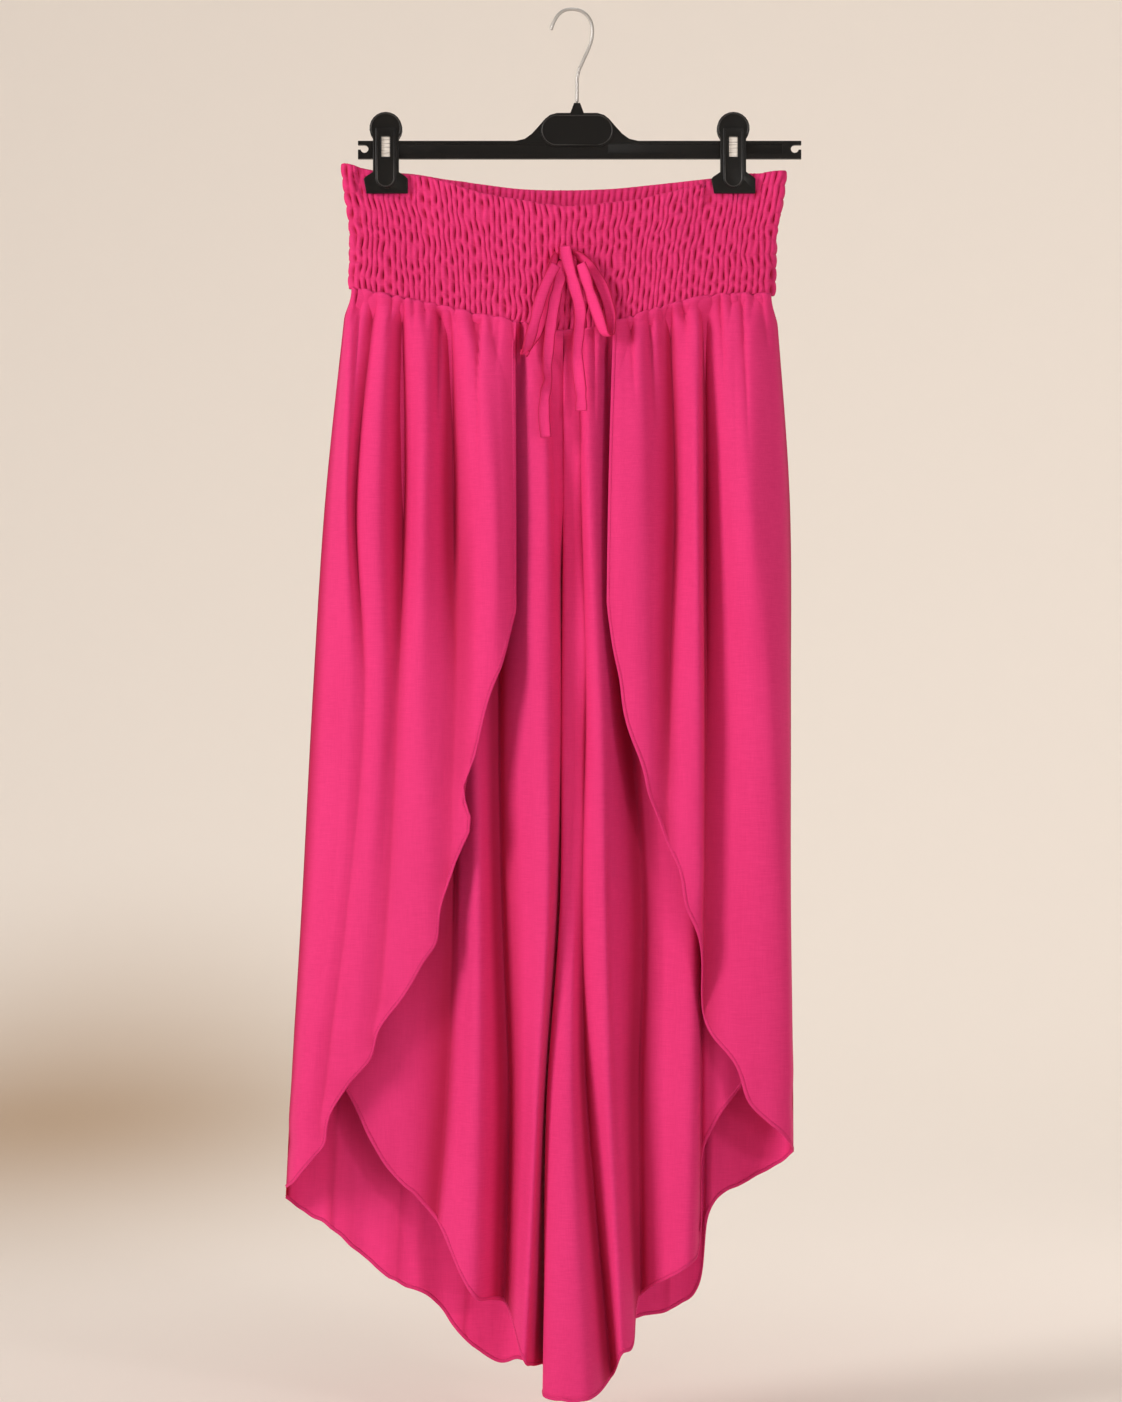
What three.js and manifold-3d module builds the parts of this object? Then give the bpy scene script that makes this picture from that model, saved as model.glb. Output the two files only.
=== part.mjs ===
// Wide-leg pants with petal wraps and a smocked waistband, clipped by the waist to a trouser hanger.
// Millimetres, +Z up, the front faces -Y, and left and right are the wearer's: left is +X.
// The origin is the inside top of the hook, where a rail carries the hanger.
import * as THREE from "three";
import { mergeVertices } from "three/addons/utils/BufferGeometryUtils.js";
import Module from "manifold-3d";

const wasm = await Module();
wasm.setup();

// Cloth sizes
const CLOTH_WALL = 1.2; // leg panels and wraps
const BAND_WALL = 1.6; // waistband between its gathers
const SEAM_GAP = 0.6; // between the waistband and what is sewn to it
const EDGE_GAP = 0.15; // half of the gap between two panels
const GATHERS = 68; // round the waistband
const PUFF_ROWS = 8; // between the rows of elastic
const PUFF_HEIGHT = 1.5;
const HOLLOW_HEIGHT = 0.25;
const PINCH_DEPTH = 2.0; // half depth of the waistband where a clip holds it
const PUFF_OUT = 55; // drop below the waist seam over which the folds open

// Leg sizes
const CROTCH_Z = -506;
const RISE_START_Z = -420; // where the front and back rises start to curve towards the crotch
const INSEAM_Y = 4;
const RISE_GAP = 0.75; // half gap between the legs' edges above the crotch
const LEG_GAP = 1.7; // and below it
const COLUMNS_PER_FOLD = 2;
const PANEL_ROWS = 13;
const ROW_CROWDING = 1.35; // rows lie closer together under the waist seam

// Hanger sizes
const BAR_LEFT_X = -184;
const BAR_RIGHT_X = 197;
const BAR_TOP_Z = -112;
const BAR_BOTTOM_Z = -127.5;
const BAR_HALF_DEPTH = 2.8;
const BAR_RIB = 2.6; // height of the ribs along both edges
const BAR_WEB = 1.5; // half depth between the ribs
const NOTCH_RADIUS = 3.4;
const HUB_X = 4.3;
const HUB_HALF_WIDTH = 31.5;
const HUB_TOP_Z = -88;
const HUB_BOTTOM_Z = -118;
const HUB_HALF_DEPTH = 4.2;
const NOSE_TOP_Z = -79.4;
const WIRE_RADIUS = 1.6;
const CLIP_XS = { right: -160, left: 138.5 };
const CLIP_DISC_RADIUS = 14;
const CLIP_DISC_Z = -101.5;
const CLIP_NECK_HALF = 11;
const CLIP_SHOULDER_Z = -139;
const JAW_HALF_WIDTH = 19;
const JAW_TOP_Z = -144;
const JAW_BOTTOM_Z = -157.5;
const ARM_INNER_Y = 3.1; // clear of the bar and of the pinched waistband
const ARM_THICKNESS = 3.2;
const TONGUE_HALF = 8.5;
const TONGUE_RISE = 1.7;
const WINDOW_HALF = 4;
const WINDOW_TOP_Z = -108.5;
const WINDOW_BOTTOM_Z = -126.5;
const STRIP = 0.9; // thickness of the steel strip that closes a clip

// Drawstring sizes
const STRING_WIDTH = 10.5;
const STRING_THICKNESS = 1.3;
const KNOT = { x: -6, y: -18, z: -210, halfWidth: 5.5, halfDepth: 3.4, halfHeight: 7 };

const COLORS = { cloth: 0xe23c78, plastic: 0x1b1a18, steel: 0xb9bcc0 };

// The waistband from the wearer's right to left: heights of its edges, and half depths
const BAND = [
  { x: -195, frontTop: -132, backTop: -132, frontSeam: -238, backSeam: -238, top: 7, seam: 13 },
  { x: -166, frontTop: -138, backTop: -138, frontSeam: -244, backSeam: -242, top: 4, seam: 13 },
  { x: -138, frontTop: -141, backTop: -140, frontSeam: -250, backSeam: -245, top: 5, seam: 13 },
  { x: -110, frontTop: -147, backTop: -144, frontSeam: -256, backSeam: -248, top: 7, seam: 13 },
  { x: -79, frontTop: -157, backTop: -148, frontSeam: -263, backSeam: -251, top: 9, seam: 14 },
  { x: -45, frontTop: -164, backTop: -152, frontSeam: -269, backSeam: -253, top: 10, seam: 14 },
  { x: -8, frontTop: -169, backTop: -153, frontSeam: -277, backSeam: -254, top: 11, seam: 14 },
  { x: 33, frontTop: -166, backTop: -152, frontSeam: -270, backSeam: -253, top: 10, seam: 14 },
  { x: 67, frontTop: -161, backTop: -149, frontSeam: -259, backSeam: -250, top: 8, seam: 13 },
  { x: 110, frontTop: -149, backTop: -145, frontSeam: -248, backSeam: -247, top: 5, seam: 13 },
  { x: 138, frontTop: -142, backTop: -142, frontSeam: -245, backSeam: -245, top: 4, seam: 13 },
  { x: 181, frontTop: -138, backTop: -138, frontSeam: -245, backSeam: -245, top: 7, seam: 13 },
];

// The waistband's two ends at fractions of its height
const BAND_ENDS = [
  { height: 0, right: -195, left: 181 },
  { height: 0.25, right: -192, left: 178 },
  { height: 0.5, right: -188, left: 173 },
  { height: 1, right: -189, left: 171 },
];

// Each fold line of a panel has its x and y at the six heights of STATIONS, and its end at the hem
const STATIONS = [-248, -420, -592, -764, -936, -1108];
const LEG_LINE_X = [-7.7, -6.9, -3.4, -6, -18, -20.5]; // the line between the two legs

const WRAP_RIGHT = [
  { name: "side", x: [-194, -212, -223, -232, -242, -250], y: [0, 0, 0, 0, 0, 0], hem: -1012 },
  { name: "ridge", x: [-189, -195, -194, -205, -229, -241], y: [-12, -26, -30, -28, -25, -24], hem: -1001 },
  { name: "valley", x: [-169, -185, -177, -191, -212, -225], y: [-10, -20, -24, -25, -24, -22], hem: -974 },
  { name: "ridge", x: [-158, -165, -162, -174, -193, -208], y: [-16, -30, -35, -34, -31, -30], hem: -922 },
  { name: "valley", x: [-146, -144, -149, -157, -172, -186], y: [-9, -16, -22, -29, -31, -31], hem: -885 },
  { name: "ridge", x: [-124, -126, -127, -125, -139, -152], y: [-18, -36, -42, -40, -37, -36], hem: -818 },
  { name: "valley", x: [-105, -101, -100, -107, -119, -131], y: [-10, -18, -26, -34, -36, -36], hem: -762 },
  { name: "ridge", x: [-90, -72, -75, -84, -95, -105], y: [-17, -40, -46, -42, -42, -42], hem: -610 },
  { name: "roll", x: [-65, -59, -59, -59, -59, -59], y: [-15, -37, -42, -42, -42, -42], hem: -560 },
  { name: "edge", x: [-49, -48, -48, -48, -48, -48], y: [-13, -30, -34, -34, -34, -34], hem: -516 },
];

const WRAP_LEFT = [
  { name: "edge", x: [36, 31, 29, 29, 29, 29], y: [-13, -34, -37, -37, -37, -37], hem: -512 },
  { name: "roll", x: [45, 43, 43, 43, 43, 43], y: [-15, -39, -43, -43, -43, -43], hem: -600 },
  { name: "ridge", x: [57, 62, 63, 64, 64, 64], y: [-18, -42, -48, -48, -48, -48], hem: -659 },
  { name: "valley", x: [84, 88, 83, 81, 81, 81], y: [-10, -26, -34, -38, -38, -38], hem: -719 },
  { name: "ridge", x: [107, 107, 108, 108, 107, 107], y: [-18, -42, -50, -51, -51, -51], hem: -796 },
  { name: "valley", x: [114, 115, 115, 114, 111, 111], y: [-8, -16, -20, -24, -26, -26], hem: -862 },
  { name: "slope", x: [127, 129, 132, 134, 133, 134], y: [-12, -27, -31, -34, -36, -36], hem: -898 },
  { name: "slope", x: [137, 140, 151, 158, 157, 157], y: [-15, -36, -42, -42, -40, -40], hem: -941 },
  { name: "ridge", x: [148, 154, 169, 179, 182, 182], y: [-16, -40, -42, -38, -34, -32], hem: -966 },
  { name: "roll", x: [168, 178, 183, 186, 188, 188], y: [-9, -22, -24, -22, -20, -18], hem: -976 },
  { name: "side", x: [175, 187, 188, 188, 190, 190], y: [0, 0, 0, 0, 0, 0], hem: -981 },
];

const FRONT_RIGHT = [
  { name: "side", x: [-188, -204, -213, -221, -228, -236], y: [-2, -3, -4, -4, -4, -4], hem: -892 },
  { name: "flat", x: [-169, -178, -182, -189, -195, -201], y: [-4, -8, -10, -12, -12, -12], hem: -927 },
  { name: "flat", x: [-146, -148, -150, -155, -158, -162], y: [-3, -7, -9, -10, -12, -12], hem: -992 },
  { name: "valley", x: [-113, -105, -101, -101, -107, -122], y: [-4, -9, -11, -12, -14, -14], hem: -1040 },
  { name: "ridge", x: [-94, -88, -82, -79, -80, -85], y: [-5, -14, -20, -28, -32, -34], hem: -1100 },
  { name: "valley", x: [-62, -59, -62, -60, -54, -58], y: [-4, -8, -10, -10, -10, -10], hem: -1110 },
  { name: "ridge", x: [-33, -25, -27, -25, -32, -40], y: [-12, -30, -36, -40, -42, -44], hem: -1152 },
  { name: "roll", x: [-18, -15, -13, -16, -25, -32], y: [-10, -20, -26, -28, -28, -28], hem: -1160 },
  { name: "centre", x: LEG_LINE_X, y: [0, 0, 0, 0, 0, 0], hem: -1163 },
];

const FRONT_LEFT = [
  { name: "centre", x: LEG_LINE_X, y: [0, 0, 0, 0, 0, 0], hem: -1178 },
  { name: "lip", x: [-6, -7, -9, -10, -21, -22.5], y: [-12, -15, -19, -24, -32, -40], hem: -1184 },
  { name: "cone", x: [1, 2, 3, 0, -1, 8], y: [-11, -20, -25, -28, -46, -54], hem: -1186 },
  { name: "valley", x: [6, 8, 12, 9, 13, 28], y: [-10, -24, -30, -30, -26, -26], hem: -1172 },
  { name: "ridge", x: [14, 15, 23, 26, 31, 40], y: [-12, -30, -36, -39, -39, -41], hem: -1150 },
  { name: "edge", x: [27, 27, 34, 35, 40, 50], y: [-9, -24, -28, -30, -30, -32], hem: -1144 },
  { name: "valley", x: [46, 46, 50, 61, 58, 60], y: [-4, -8, -10, -10, -10, -10], hem: -1104 },
  { name: "ridge", x: [82, 88, 95, 102, 102, 96], y: [-5, -12, -18, -26, -28, -30], hem: -1078 },
  { name: "tuck", x: [93, 102, 107, 110, 111, 109], y: [-4, -9, -12, -15, -15, -16], hem: -1058 },
  { name: "flat", x: [104, 111, 113, 114, 114, 112.5], y: [-4, -7, -9, -11, -11.5, -12.5], hem: -975 },
  { name: "flat", x: [140, 149, 151, 151, 151, 151], y: [-4, -7, -8, -8, -8, -8], hem: -918 },
  { name: "side", x: [169, 180, 181, 181, 183, 183], y: [-2, -3, -4, -4, -4, -4], hem: -889 },
];

const BACK_RIGHT = [
  { name: "side", x: [-194, -212, -223, -232, -242, -250], y: [0, 0, 0, 0, 0, 0], hem: -1021 },
  { name: "ridge", x: [-188, -200, -206, -216, -226, -236], y: [12, 24, 28, 28, 26, 24], hem: -1035 },
  { name: "valley", x: [-170, -176, -180, -190, -202, -212], y: [8, 14, 16, 16, 16, 14], hem: -1049 },
  { name: "ridge", x: [-148, -154, -156, -164, -174, -184], y: [15, 32, 38, 35, 29, 25], hem: -1073 },
  { name: "valley", x: [-124, -126, -130, -136, -144, -152], y: [8, 16, 20, 22, 23, 22], hem: -1097 },
  { name: "ridge", x: [-98, -98, -98, -104, -112, -122], y: [16, 36, 44, 41, 34, 30], hem: -1111 },
  { name: "valley", x: [-72, -70, -70, -76, -82, -92], y: [8, 18, 22, 26, 28, 28], hem: -1145 },
  { name: "ridge", x: [-44, -42, -40, -44, -52, -62], y: [15, 34, 44, 42, 37, 34], hem: -1166 },
  { name: "roll", x: [-22, -20, -16, -20, -31, -42], y: [9, 18, 22, 22, 24, 24], hem: -1163 },
  { name: "centre", x: LEG_LINE_X, y: [0, 0, 0, 0, 0, 0], hem: -1165 },
];

const BACK_LEFT = [
  { name: "centre", x: LEG_LINE_X, y: [0, 0, 0, 0, 0, 0], hem: -1165 },
  { name: "ridge", x: [10, 12, 14, 14, 6, 0], y: [14, 30, 42, 42, 36, 32], hem: -1150 },
  { name: "valley", x: [32, 32, 35, 35, 32, 30], y: [8, 16, 20, 24, 26, 26], hem: -1136 },
  { name: "ridge", x: [56, 56, 59, 60, 60, 58], y: [16, 36, 46, 44, 38, 34], hem: -1127 },
  { name: "valley", x: [81, 82, 84, 86, 86, 84], y: [8, 17, 22, 26, 29, 30], hem: -1122 },
  { name: "ridge", x: [104, 106, 108, 110, 112, 110], y: [16, 38, 46, 44, 38, 34], hem: -1100 },
  { name: "valley", x: [124, 128, 128, 128, 122, 118], y: [8, 16, 20, 22, 24, 24], hem: -1034 },
  { name: "ridge", x: [146, 150, 152, 152, 150, 146], y: [14, 32, 36, 33, 29, 26], hem: -1011 },
  { name: "roll", x: [166, 174, 177, 177, 178, 178], y: [10, 18, 20, 20, 18, 16], hem: -994 },
  { name: "side", x: [175, 187, 188, 188, 190, 190], y: [0, 0, 0, 0, 0, 0], hem: -981 },
];

// The drawstring's four strands, from the knot outwards; turn is how far the ribbon is twisted
const STRANDS = {
  drawstring_loop_right: [
    { x: -13.1, y: -19.2, z: -210, turn: 70 },
    { x: -16, y: -19.5, z: -220, turn: 35 },
    { x: -19, y: -20.3, z: -236, turn: 15 },
    { x: -23, y: -21.3, z: -256, turn: 10 },
    { x: -30, y: -23, z: -277, turn: 15 },
    { x: -38, y: -25.5, z: -291, turn: 45 },
    { x: -40.5, y: -29, z: -296, turn: 70 },
    { x: -37.5, y: -31.5, z: -289, turn: 40 },
    { x: -32.5, y: -31.5, z: -272, turn: 20 },
    { x: -28, y: -30.5, z: -254, turn: 15 },
    { x: -21.5, y: -29, z: -236, turn: 15 },
    { x: -14, y: -26.5, z: -221, turn: 20 },
  ],
  drawstring_loop_left: [
    { x: 0.9, y: -19, z: -209, turn: -70 },
    { x: 7, y: -19.5, z: -213.5, turn: -40 },
    { x: 17, y: -20.3, z: -224, turn: -22 },
    { x: 26.5, y: -21.5, z: -241, turn: -18 },
    { x: 32.5, y: -23.5, z: -262, turn: -25 },
    { x: 33, y: -27.5, z: -279.5, turn: -50 },
    { x: 27.5, y: -30, z: -279, turn: -35 },
    { x: 21.5, y: -29.5, z: -263, turn: -20 },
    { x: 15.5, y: -28.5, z: -245, turn: -20 },
    { x: 11, y: -27, z: -230, turn: -20 },
    { x: 7.5, y: -25.5, z: -220, turn: -30 },
  ],
  drawstring_tail_right: [
    { x: -6.6, y: -18.6, z: -217.6, turn: 0 },
    { x: -8.5, y: -20.5, z: -224, turn: 10 },
    { x: -11.5, y: -24.5, z: -238, turn: 15 },
    { x: -15, y: -25.5, z: -252, turn: 15 },
    { x: -17.8, y: -25.5, z: -270, turn: 10 },
    { x: -19.8, y: -26.5, z: -289, turn: 15 },
    { x: -21.3, y: -28.5, z: -309, turn: 30 },
    { x: -20.8, y: -30, z: -320, turn: 50 },
    { x: -23.2, y: -31.5, z: -333, turn: 20 },
    { x: -24, y: -33, z: -350, turn: 10 },
    { x: -22.5, y: -34, z: -368.5, turn: 8 },
  ],
  drawstring_tail_left: [
    { x: -6, y: -22.3, z: -205, turn: 0 },
    { x: -4.8, y: -22.7, z: -213, turn: -4 },
    { x: -2, y: -24.7, z: -224, turn: -8 },
    { x: 2.5, y: -26.5, z: -241, turn: -10 },
    { x: 6.8, y: -27.5, z: -259, turn: 0 },
    { x: 6, y: -28.5, z: -277, turn: 15 },
    { x: 4.3, y: -30.5, z: -297, turn: 10 },
    { x: 6, y: -32.5, z: -317, turn: -15 },
    { x: 7.6, y: -34, z: -332, turn: -5 },
    { x: 7.8, y: -35.5, z: -346, turn: 0 },
  ],
};

// The hook's wire, from its tip over the rail to the hub
const HOOK = [
  { x: -18.5, z: -17 },
  { x: -18, z: -10 },
  { x: -14, z: -3.2 },
  { x: -7.5, z: 0.6 },
  { x: 0, z: WIRE_RADIUS },
  { x: 8, z: -0.4 },
  { x: 14, z: -6 },
  { x: 16.8, z: -15 },
  { x: 16, z: -25 },
  { x: 12.5, z: -36 },
  { x: 8, z: -47 },
  { x: 5, z: -59 },
  { x: HUB_X, z: -70 },
  { x: HUB_X, z: NOSE_TOP_Z + 0.3 },
];

function clamp01(t) {
  return Math.min(1, Math.max(0, t));
}

function smooth(t) {
  const s = clamp01(t);
  return s * s * (3 - 2 * s);
}

function mix(a, b, t) {
  return a + (b - a) * t;
}

// A smooth curve through evenly spaced values, carried on straight past its ends
function through(values, at) {
  const last = values.length - 1;
  const i = Math.min(last - 1, Math.max(0, Math.floor(at)));
  const t = at - i;
  if (t < 0 || t > 1) {
    return mix(values[i], values[i + 1], t);
  }
  const before = values[Math.max(0, i - 1)];
  const after = values[Math.min(last, i + 2)];
  const slopeIn = (values[i + 1] - before) / (i > 0 ? 2 : 1);
  const slopeOut = (after - values[i]) / (i + 1 < last ? 2 : 1);
  const t2 = t * t;
  const t3 = t2 * t;
  return (
    (2 * t3 - 3 * t2 + 1) * values[i] +
    (t3 - 2 * t2 + t) * slopeIn +
    (3 * t2 - 2 * t3) * values[i + 1] +
    (t3 - t2) * slopeOut
  );
}

// The value of a table's column where another column, which rises, has the value at
function lookUp(table, key, at, column) {
  const keys = table.map((row) => row[key]);
  let i = keys.findIndex((value) => value > at) - 1;
  if (i < 0) {
    i = at < keys[0] ? 0 : keys.length - 2;
  }
  const t = clamp01((at - keys[i]) / (keys[i + 1] - keys[i]));
  return through(table.map((row) => row[column]), i + t);
}

function stationOf(z) {
  return (STATIONS[0] - z) / (STATIONS[0] - STATIONS[1]);
}

// How far a clip's jaws press the waistband flat at a place
function pinchAt(x, height) {
  const nearest = Math.min(...Object.values(CLIP_XS).map((clip) => Math.abs(x - clip)));
  const across = 1 - smooth((nearest - JAW_HALF_WIDTH - 3) / 28);
  const down = 1 - smooth((height - 0.22) / 0.5);
  return across * down;
}

// The waistband's middle surface, at an angle round it and a fraction of its height
function bandPoint(angle, height) {
  const right = lookUp(BAND_ENDS, "height", height, "right");
  const left = lookUp(BAND_ENDS, "height", height, "left");
  const x = mix(right, left, (1 - Math.cos(angle)) / 2);
  const isFront = Math.sin(angle) >= 0;
  const depth = mix(lookUp(BAND, "x", x, "top"), lookUp(BAND, "x", x, "seam"), smooth(height));
  const rounded = depth * Math.sqrt(Math.abs(Math.sin(angle)));
  const pressed = mix(rounded, Math.min(rounded, PINCH_DEPTH), pinchAt(x, height));
  const face = isFront ? "front" : "back";
  const top = lookUp(BAND, "x", x, face + "Top");
  const seam = lookUp(BAND, "x", x, face + "Seam");
  return new THREE.Vector3(x, (isFront ? -1 : 1) * pressed, mix(top, seam, height));
}

// Angles that space the waistband's columns evenly along its length
function evenAngles(count) {
  const samples = 1440;
  const lengths = [0];
  let before = bandPoint(0, 0.6);
  for (let i = 1; i <= samples; i++) {
    const point = bandPoint((2 * Math.PI * i) / samples, 0.6);
    lengths.push(lengths[i - 1] + Math.hypot(point.x - before.x, point.y - before.y));
    before = point;
  }
  const angles = [];
  let i = 0;
  for (let n = 0; n < count; n++) {
    const target = (lengths[samples] * n) / count;
    while (lengths[i + 1] < target) i++;
    const t = (target - lengths[i]) / (lengths[i + 1] - lengths[i]);
    angles.push((2 * Math.PI * (i + t)) / samples);
  }
  return angles;
}

// The outward direction of the waistband, in plan
function bandNormal(angle, height) {
  const step = 0.02;
  const along = bandPoint(angle + step, height).sub(bandPoint(angle - step, height));
  return new THREE.Vector3(along.y, -along.x, 0).normalize();
}

function solidGeometry(positions, triangles) {
  const geometry = new THREE.BufferGeometry();
  geometry.setAttribute("position", new THREE.Float32BufferAttribute(positions, 3));
  geometry.setIndex(triangles);
  geometry.computeVertexNormals();
  return geometry;
}

// The smocked waistband: gathers raised between rows of elastic outside, and plain inside
function waistbandGeometry() {
  const count = 2 * GATHERS;
  const angles = evenAngles(count);
  const positions = [];
  const triangles = [];
  const puff = (column, row) => {
    if (row % 2 === 0) return 0;
    const raised = (column + (row - 1) / 2) % 2 === 0;
    return raised ? PUFF_HEIGHT : HOLLOW_HEIGHT;
  };
  const addRing = (height, offsetOf) => {
    const start = positions.length / 3;
    angles.forEach((angle, column) => {
      const point = bandPoint(angle, height);
      const offset = offsetOf(column, point.x);
      point.addScaledVector(bandNormal(angle, height), offset);
      positions.push(point.x, point.y, point.z);
    });
    return start;
  };
  const addBand = (a, b, outward) => {
    for (let i = 0; i < count; i++) {
      const j = (i + 1) % count;
      const [p, q, r, s] = outward ? [a + i, b + i, b + j, a + j] : [a + j, b + j, b + i, a + i];
      triangles.push(p, q, r, p, r, s);
    }
  };
  const outer = [];
  for (let row = 0; row <= 2 * PUFF_ROWS; row++) {
    const height = row / (2 * PUFF_ROWS);
    outer.push(
      addRing(height, (column, x) => {
        const free = height < 0.3 ? 1 - smooth(pinchAt(x, 0) * 2 - 0.2) : 1;
        return BAND_WALL / 2 + puff(column, row) * free;
      }),
    );
  }
  const inner = [0, 0.125, 0.25, 0.375, 0.5, 0.75, 1].map((height) => addRing(height, () => -BAND_WALL / 2));
  for (let row = 0; row < outer.length - 1; row++) addBand(outer[row], outer[row + 1], true);
  for (let row = 0; row < inner.length - 1; row++) addBand(inner[row], inner[row + 1], false);
  addBand(inner[0], outer[0], true);
  addBand(outer.at(-1), inner.at(-1), true);
  return solidGeometry(positions, triangles);
}

// Depth of the seam between the legs: centre front or back above the crotch, inseam below it
function centreDepth(z, isFront) {
  const joined = INSEAM_Y + (isFront ? -EDGE_GAP : EDGE_GAP);
  const rise = isFront ? -10 : 13;
  return mix(rise, joined, smooth((RISE_START_Z - z) / (RISE_START_Z - CROTCH_Z)));
}

function legGapAt(z) {
  return mix(RISE_GAP, LEG_GAP, smooth((RISE_START_Z - z) / (RISE_START_Z - CROTCH_Z)));
}

// A panel's middle surface at a place across its folds and a fraction of its length
function panelPoint(panel, across, down) {
  const { folds, isFront, lift } = panel;
  const topX = through(folds.map((fold) => fold.x[0]), across) * 0.975;
  const face = isFront ? "front" : "back";
  const top = lookUp(BAND, "x", topX, face + "Seam") - SEAM_GAP;
  const hem = through(folds.map((fold) => fold.hem), across);
  const z = mix(top, hem, down);
  const station = stationOf(z);
  const outwards = isFront ? -1 : 1;
  const lineXs = folds.map((fold) => {
    const x = through(fold.x, station);
    if (fold.name !== "centre") return x;
    return x + panel.side * legGapAt(z);
  });
  const lineYs = folds.map((fold) =>
    fold.name === "centre" ? centreDepth(z, isFront) : through(fold.y, station),
  );
  const opened = smooth((top - z) / PUFF_OUT);
  const end = topX < 0 ? BAND_ENDS.at(-1).right : BAND_ENDS.at(-1).left;
  const reach = Math.min(1, Math.abs(topX / end));
  const bandDepth = lookUp(BAND, "x", topX, "seam") * Math.pow(1 - reach * reach, 0.25);
  const sewnY = outwards * Math.max(bandDepth + lift, 0);
  return new THREE.Vector3(
    mix(topX, through(lineXs, across), opened),
    mix(sewnY, through(lineYs, across), opened),
    z,
  );
}

// Keeps a panel's wall on its own side of each seam
function keepClear(point, panel, column, lastColumn) {
  const line = through(LEG_LINE_X, stationOf(point.z));
  if (panel.side < 0) {
    point.x = Math.min(point.x, line - EDGE_GAP);
  } else if (!panel.isFront || point.z > RISE_START_Z) {
    point.x = Math.max(point.x, line + EDGE_GAP);
  }
  const names = [panel.folds[0].name, panel.folds.at(-1).name];
  const edge = column === 0 ? names[0] : column === lastColumn ? names[1] : "";
  if (edge === "side") {
    point.y = panel.isFront ? Math.min(point.y, -EDGE_GAP) : Math.max(point.y, EDGE_GAP);
  } else if (edge === "centre" && point.z < CROTCH_Z) {
    const seam = INSEAM_Y;
    point.y = panel.isFront ? Math.min(point.y, seam - EDGE_GAP) : Math.max(point.y, seam + EDGE_GAP);
  }
}

// A cloth panel as a closed wall of even thickness
function panelGeometry(panel) {
  const columns = (panel.folds.length - 1) * COLUMNS_PER_FOLD;
  const grid = [];
  for (let row = 0; row <= PANEL_ROWS; row++) {
    const down = Math.pow(row / PANEL_ROWS, ROW_CROWDING);
    const line = [];
    for (let column = 0; column <= columns; column++) {
      line.push(panelPoint(panel, column / COLUMNS_PER_FOLD, down));
    }
    grid.push(line);
  }
  const positions = [];
  const width = columns + 1;
  const addFace = (offset) => {
    const start = positions.length / 3;
    for (let row = 0; row <= PANEL_ROWS; row++) {
      for (let column = 0; column <= columns; column++) {
        const across = grid[row][Math.min(columns, column + 1)].clone();
        across.sub(grid[row][Math.max(0, column - 1)]);
        const down = grid[Math.min(PANEL_ROWS, row + 1)][column].clone();
        down.sub(grid[Math.max(0, row - 1)][column]);
        const normal = across.cross(down).setZ(0).normalize();
        if (!panel.isFront) normal.negate();
        const point = grid[row][column].clone().addScaledVector(normal, offset);
        keepClear(point, panel, column, columns);
        positions.push(point.x, point.y, point.z);
      }
    }
    return start;
  };
  const outer = addFace(CLOTH_WALL / 2);
  const inner = addFace(-CLOTH_WALL / 2);
  const triangles = [];
  const addQuad = (a, b, c, d) => {
    if (panel.isFront) triangles.push(a, b, c, a, c, d);
    else triangles.push(a, c, b, a, d, c);
  };
  for (let row = 0; row < PANEL_ROWS; row++) {
    for (let column = 0; column < columns; column++) {
      const a = row * width + column;
      addQuad(outer + a, outer + a + 1, outer + a + width + 1, outer + a + width);
      addQuad(inner + a, inner + a + width, inner + a + width + 1, inner + a + 1);
    }
    const left = row * width;
    const right = left + columns;
    addQuad(inner + left, outer + left, outer + left + width, inner + left + width);
    addQuad(outer + right, inner + right, inner + right + width, outer + right + width);
  }
  const hemStart = PANEL_ROWS * width;
  for (let column = 0; column < columns; column++) {
    addQuad(inner + column, inner + column + 1, outer + column + 1, outer + column);
    const a = hemStart + column;
    addQuad(outer + a, outer + a + 1, inner + a + 1, inner + a);
  }
  return solidGeometry(positions, triangles);
}

// A flat ribbon along a row of points, turned about its own length
function ribbonGeometry(points) {
  const steps = (points.length - 1) * 3;
  const positions = [];
  const triangles = [];
  const at = (key, t) => through(points.map((point) => point[key]), t);
  const place = (t) => new THREE.Vector3(at("x", t), at("y", t), at("z", t));
  for (let i = 0; i <= steps; i++) {
    const t = i / 3;
    const along = place(Math.min(points.length - 1, t + 0.1)).sub(place(Math.max(0, t - 0.1))).normalize();
    const turn = THREE.MathUtils.degToRad(at("turn", t));
    const across = new THREE.Vector3(Math.cos(turn), Math.sin(turn), 0);
    across.addScaledVector(along, -across.dot(along)).normalize();
    const up = across.clone().cross(along);
    for (const [w, h] of [[1, 1], [-1, 1], [-1, -1], [1, -1]]) {
      const corner = place(t)
        .addScaledVector(across, (w * STRING_WIDTH) / 2)
        .addScaledVector(up, (h * STRING_THICKNESS) / 2);
      positions.push(corner.x, corner.y, corner.z);
    }
  }
  for (let i = 0; i < steps; i++) {
    for (let side = 0; side < 4; side++) {
      const a = i * 4 + side;
      const b = i * 4 + ((side + 1) % 4);
      triangles.push(a, b + 4, b, a, a + 4, b + 4);
    }
  }
  const end = steps * 4;
  triangles.push(0, 1, 2, 0, 2, 3, end, end + 2, end + 1, end, end + 3, end + 2);
  return solidGeometry(positions, triangles);
}

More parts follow.
